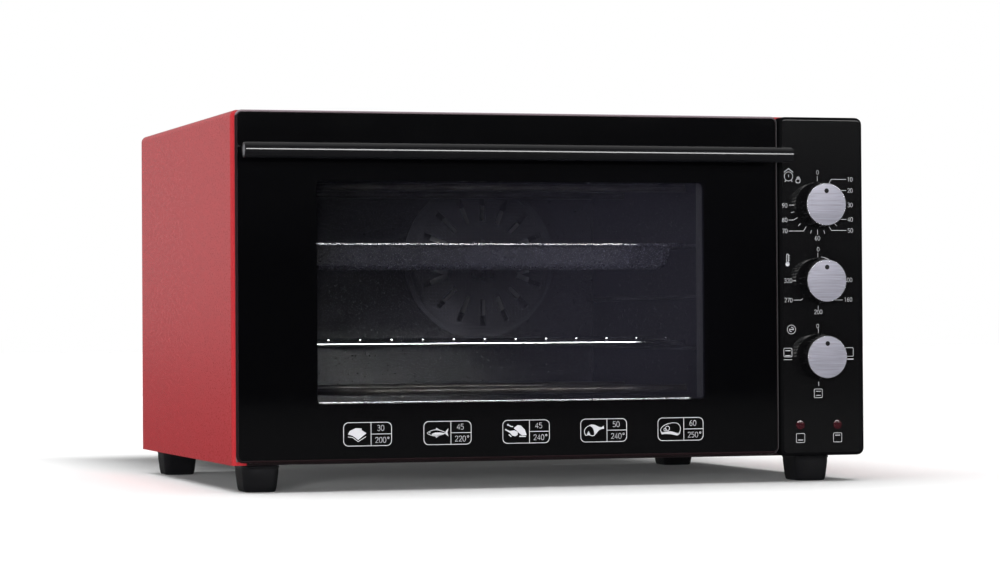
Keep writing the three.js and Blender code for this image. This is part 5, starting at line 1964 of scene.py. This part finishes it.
@dataclass
class Knob:
    """One turning knob: a tapered black body under a brushed disc with an index dot.

    The skirt and the brow list an inset, a distance from the back or from the front, and
    1 where the flutes are cut into the body.
    """

    name: str
    body: Body
    taper: float = 0.0012
    skirt: tuple[tuple[float, float, int], ...] = (
        (0.0006, 0.0, 0), (0.0001, 0.0003, 0), (0.0, 0.0009, 1), (0.0, 0.0024, 1), (0.0004, 0.0032, 1),
        (0.0006, 0.0042, 1),
    )
    waist_share: float = 0.6
    waist_swell: float = 0.0002
    brow: tuple[tuple[float, float, int], ...] = (
        (0.0, 0.0024, 1), (0.0001, 0.0014, 0), (0.0002, 0.0008, 0), (0.0006, 0.0002, 0), (0.0012, 0.0, 0),
    )
    flutes: int = 40
    flute_depth: float = 0.0008
    flute_steps: int = 6
    dot_radius: float = 0.0021
    dot_height: float = 0.0119
    dot_sink: float = 0.0001
    dot_edge: float = 0.00023
    dot_rise: float = 0.00025
    dot_steps: int = 24
    rim: float = 0.0004
    bevel_share: float = 0.6
    dome: float = 0.0007
    dome_steps: int = 12
    disc_steps: int = 96

    def build(self) -> None:
        """Turns the knob's pieces."""
        self.middle = middle_of(f"{self.name}_knob")
        self.turn_body()
        self.turn_disc()

    def turn_body(self) -> None:
        """Turns the black body."""
        node = f"{self.name}_knob"
        low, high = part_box(node)
        wide, deep = (high.x - low.x) / 2, high.y - low.y
        top = wide - self.taper
        stations = [(0.0, 0.0, 0), *((wide - inset, along, cut) for inset, along, cut in self.skirt)]
        stations += [(top + self.waist_swell, deep * self.waist_share, 1)]
        stations += [(top - inset, deep - drop, cut) for inset, drop, cut in self.brow]
        stations += [(0.0, deep, 0)]
        start = self.middle + BACKWARD * high.y
        rings = [self.fluted_ring(start, *station) for station in stations]
        grip = Form().skin(rings)
        add_piece(f"{self.name}_grip", grip, self.body, Finishes.black_knob, stands_for=(node,))

    def fluted_ring(self, start: Vector, radius: float, along: float, cut: int) -> list[Vector]:
        """Lists one ring of the body.

        Args:
            start: The middle of the body's back.
            radius: The ring's radius.
            along: Its distance from the back.
            cut: 1 where the flutes are cut into it and 0 where it is round.

        Returns:
            The ring's points.
        """
        points = []
        steps = self.flutes * self.flute_steps
        for step in range(steps):
            angle = FULL_TURN * step / steps
            dip = (1 - math.cos(self.flutes * angle)) / 2 * self.flute_depth * cut
            reach = radius - dip
            points.append(start + Vector((reach * math.cos(angle), -along, reach * math.sin(angle))))
        return points

    def sink(self, share: float) -> float:
        """Finds how far the domed disc has fallen at a share of its radius."""
        return self.dome * share * share

    def turn_disc(self) -> None:
        """Turns the brushed disc, its bright rim and its dot."""
        node = f"{self.name}_knob_cap"
        low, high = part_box(node)
        wide, deep = (high.x - low.x) / 2, high.y - low.y
        start = self.middle + BACKWARD * high.y
        inner, edge = wide - self.rim, deep - self.dome
        shares = [step / self.dome_steps for step in range(self.dome_steps, -1, -1)]
        profile = [(0.0, 0.0), (inner, 0.0)]
        profile += [(inner * share, deep - self.sink(share)) for share in shares]
        form = Form().turn(profile, start, FORWARD, self.disc_steps)
        add_piece(f"{self.name}_disc", form, self.body, Finishes.brushed_disc, stands_for=(node,))
        bevel = self.rim * self.bevel_share
        section = [(inner, 0.0), (wide, 0.0), (wide, edge - bevel), (wide - bevel, edge), (inner, edge)]
        rings = [
            around(start + FORWARD * along, RIGHTWARD, UPWARD, reach, self.disc_steps)
            for reach, along in section
        ]
        add_piece(f"{self.name}_rim", Form().skin(rings, wrap=True), self.body, Finishes.disc_rim)
        level = deep - self.sink(self.dot_height / inner) - self.dot_sink
        place = start + FORWARD * level + UPWARD * self.dot_height
        reach = self.dot_radius
        profile = [(0.0, 0.0), (reach, 0.0), (reach, self.dot_edge), (0.0, self.dot_rise)]
        dot = Form().turn(profile, place, FORWARD, self.dot_steps)
        add_piece(f"{self.name}_dot", dot, self.body, Finishes.index_dot)

    def dress(self) -> None:
        """Gives the shaft its finish."""
        dress_nodes(Finishes.zinc_steel, f"{self.name}_shaft")


def ray(degrees: float, radius: float) -> Pair:
    """Finds a place round a knob, clockwise from its top."""
    angle = math.radians(degrees)
    return (radius * math.sin(angle), radius * math.cos(angle))


def lay_timer_dial() -> Picture:
    """Lays out the timer's scale of minutes, at three degrees a minute.

    Returns:
        The dial.
    """
    column, leader, outer_knee, inner_knee = 31.2, 27.5, 22.6, 13.3
    rate, hub, tick = 3, 22, (23, 26)
    numbers = [("0", 0.3, 29.1), ("30", column, 0.3), ("60", -0.2, -29.2), ("90", -column, -0.4)]
    strokes = [
        ((0, 21.4), (0, 25.9)), ((22, 0), (27, 0)), ((0, -21.6), (0, -26.1)), ((-22, 0), (-27, 0)),
    ]
    for minutes, side, knee, level in (
        (10, 1, inner_knee, 23.0), (20, 1, outer_knee, 13.2), (40, 1, outer_knee, -12.5),
        (50, 1, inner_knee, -22.3), (70, -1, inner_knee, -22.9), (80, -1, outer_knee, -13.2),
    ):
        strokes.append((ray(minutes * rate, hub), (side * knee, level), (side * leader, level)))
        numbers.append((str(minutes), side * column, level))
    for minutes in range(45, 90, 10):
        strokes.append(tuple(ray(minutes * rate, radius) for radius in tick))
    return Picture(strokes=tuple(strokes), numbers=tuple(numbers))


def lay_growing_arc(start: float, turn: float, inner: float, outer: Pair, steps: int = 24) -> Stroke:
    """Lays out an arc that widens clockwise.

    Args:
        start: Its first angle, in degrees from the top.
        turn: How far it goes, in degrees.
        inner: Its inner radius.
        outer: Its outer radius at the start and how much that grows.
        steps: Steps along it.

    Returns:
        Its outline.
    """
    shares = [step / steps for step in range(steps + 1)]
    inside = [ray(start + turn * share, inner) for share in shares]
    outside = [ray(start + turn * share, outer[0] + outer[1] * share) for share in shares]
    return (*inside, *outside[::-1])


TIMER_DIAL = lay_timer_dial()
CLOCK = Picture(rings=((0, 0, 4.0),), strokes=(((0, 1.6), (0, -0.6)),))
CLOCK_BELLS = Picture(
    pen=0.5,
    strokes=(
        ((-4.4, 3.6), (0, 6.9), (4.4, 3.6)), ((-2.5, -3.5), (-3.6, -4.9)), ((2.5, -3.5), (3.6, -4.9)),
    ),
)
HAND = Picture(
    pen=0.45,
    loops=(((-2.2, -0.4), (-1.5, -2.6), (1.5, -2.6), (2.2, -0.8), (2.2, 0.9), (0.7, 1.0), (-0.8, 1.0)),),
    strokes=(((-0.8, 0.8), (-0.8, 2.6)), ((0.2, 0.8), (0.2, 3.2)), ((1.2, 0.8), (1.2, 2.6))),
)
HEAT_DIAL = Picture(
    fills=(lay_growing_arc(8, 66, 21.4, (21.7, 0.9)),),
    strokes=(
        ((0, 21), (0, 25)), ((0, -22), (0, -24.6)), ((-21, 0.2), (-24.2, 0.2)),
        ((-14.6, -15.4), (-16.2, -16.8), (-23.4, -16.8)), ((14.6, -15.4), (16.2, -16.8), (23.4, -16.8)),
    ),
    numbers=(
        ("0", 0.4, 28.1), ("100", 28.9, 0.9), ("160", 28.7, -16.5), ("200", 0, -27.3),
        ("270", -28.2, -16.8), ("320", -28.4, 0.4),
    ),
)
THERMOMETER = Picture(pen=0.4, dots=((0, -3.9, 1.9),), boxes=((0, 0.8, 2.0, 8.8, 0.9),))
HEAT_MARKS = Picture(pen=0.5, strokes=tuple(((1.2, level), (2.2, level)) for level in (-0.4, 1.5, 3.4)))
CHOICE_DIAL = Picture(
    strokes=(((0, 21), (0, 25)), ((0, -22), (0, -25.6)), ((-33.1, -2.2), (-25.1, -2.2))),
    boxes=((-29.1, 4.1, 8, 8, 1.2), (29.4, 4.1, 8, 8, 1.2), (-0.5, -32.2, 8, 8, 1.2)),
    rings=((-25.6, 24.4, 3.9),),
    numbers=(("0", -0.6, 27.3),),
)
BOTH_BARS = Picture(pen=0.6, strokes=(((-31.5, 5.7), (-26.7, 5.7)), ((-31.5, 1.3), (-26.7, 1.3))))
LOWER_BARS = Picture(pen=0.4, strokes=(((-2.9, -30.4), (1.9, -30.4)), ((-2.9, -34.0), (1.9, -34.0))))
UNDER_BAR = Picture(pen=0.8, strokes=(((25.4, -2.2), (33.4, -2.2)),))
FAN_BLADES = Picture(
    pen=0.5,
    strokes=tuple(
        ((0, 0), *arc((0, 0), 1.9, math.radians(start), math.radians(start + 110), 8))
        for start in (-10, 170)
    ),
)
LAMP_FRAME = Picture(boxes=((0, 0, 8.3, 8.3, 1.0),))
LAMP_BARS = {
    side: Picture(pen=0.6, strokes=(((-2.4, level), (2.4, level)),))
    for side, level in (("left", -1.8), ("right", 2.0))
}


@dataclass
class ControlPanel:
    """The black panel beside the door, with its print, lamps and knobs.

    The lens's dome lists shares of its radius and drops below its top.
    """

    lamp_icon_height: float = 0.0387
    lamp_lens: float = 0.0026
    lens_flange: float = 0.0012
    lens_inset: float = 0.0005
    lens_dome: tuple[Pair, ...] = ((1.0, 0.00055), (0.97, 0.0003), (0.75, 0.0001), (0.0, 0.0))
    lens_steps: int = 40
    knobs: tuple[Knob, ...] = (
        Knob("timer", Body.TIMER),
        Knob("thermostat", Body.THERMOSTAT),
        Knob("selector", Body.SELECTOR),
    )
    dials: tuple[tuple[tuple[Picture, Pair], ...], ...] = (
        (
            (TIMER_DIAL, (0, 0)), (CLOCK, (-27.3, 25.3)), (CLOCK_BELLS, (-27.3, 25.3)),
            (HAND, (-18.4, 22.2)),
        ),
        ((HEAT_DIAL, (0, 0)), (THERMOMETER, (-28.8, 18.9)), (HEAT_MARKS, (-28.8, 18.9))),
        (
            (CHOICE_DIAL, (0, 0)), (BOTH_BARS, (0, 0)), (LOWER_BARS, (0, 0)), (UNDER_BAR, (0, 0)),
            (FAN_BLADES, (-25.6, 24.4)),
        ),
    )

    def build(self) -> None:
        """Builds the panel's pieces."""
        recast("control_panel", Body.CABINET, Finishes.black_panel, 0.0, "black_panel")
        for knob in self.knobs:
            knob.build()
        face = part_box("control_panel")[0].y
        for knob, dial in zip(self.knobs, self.dials):
            marks = Print(face, (knob.middle.x, knob.middle.z))
            for picture, place in dial:
                picture.draw(marks, place)
            marks.finish(f"{knob.name}_print", Body.CABINET, Finishes.ink)
        for side, bar in LAMP_BARS.items():
            self.fit_lamp(side)
            marks = Print(face, (middle_of(f"pilot_lamp_{side}").x, self.lamp_icon_height))
            LAMP_FRAME.draw(marks, (0, 0))
            bar.draw(marks, (0, 0))
            marks.finish(f"lamp_print_{side}", Body.CABINET, Finishes.ink)

    def fit_lamp(self, side: str) -> None:
        """Turns one lamp's domed lens.

        Args:
            side: left or right.
        """
        node = f"pilot_lamp_{side}"
        low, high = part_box(node)
        wide, deep = (high.x - low.x) / 2, high.y - low.y
        lens, cap = min(wide, self.lamp_lens), wide - self.lens_inset
        flange, under = self.lens_flange, deep - self.lens_dome[0][1]
        profile = [(0.0, 0.0), (wide, 0.0), (wide, flange), (lens, flange), (lens, under)]
        profile += [(cap * share, deep - drop) for share, drop in self.lens_dome]
        form = Form().turn(profile, middle_of(node, high.y), FORWARD, self.lens_steps)
        add_piece(f"lamp_lens_{side}", form, Body.CABINET, Finishes.lamp_lens, stands_for=(node,))

    def dress(self) -> None:
        """Gives the knobs' shafts their finish."""
        for knob in self.knobs:
            knob.dress()


def main() -> None:
    """Builds the studio and the oven, one sub-assembly after another."""
    logging.basicConfig(level=logging.INFO, format="%(name)s: %(message)s")
    Studio().build()
    cabinet, cavity, door, panel = Cabinet(), Cavity(), Door(), ControlPanel()
    for assembly in (cabinet, cavity, door, panel):
        assembly.build()
        assembly.dress()
    WireRack().build()
    BakingTray().build()


if __name__ == "__main__":
    main()
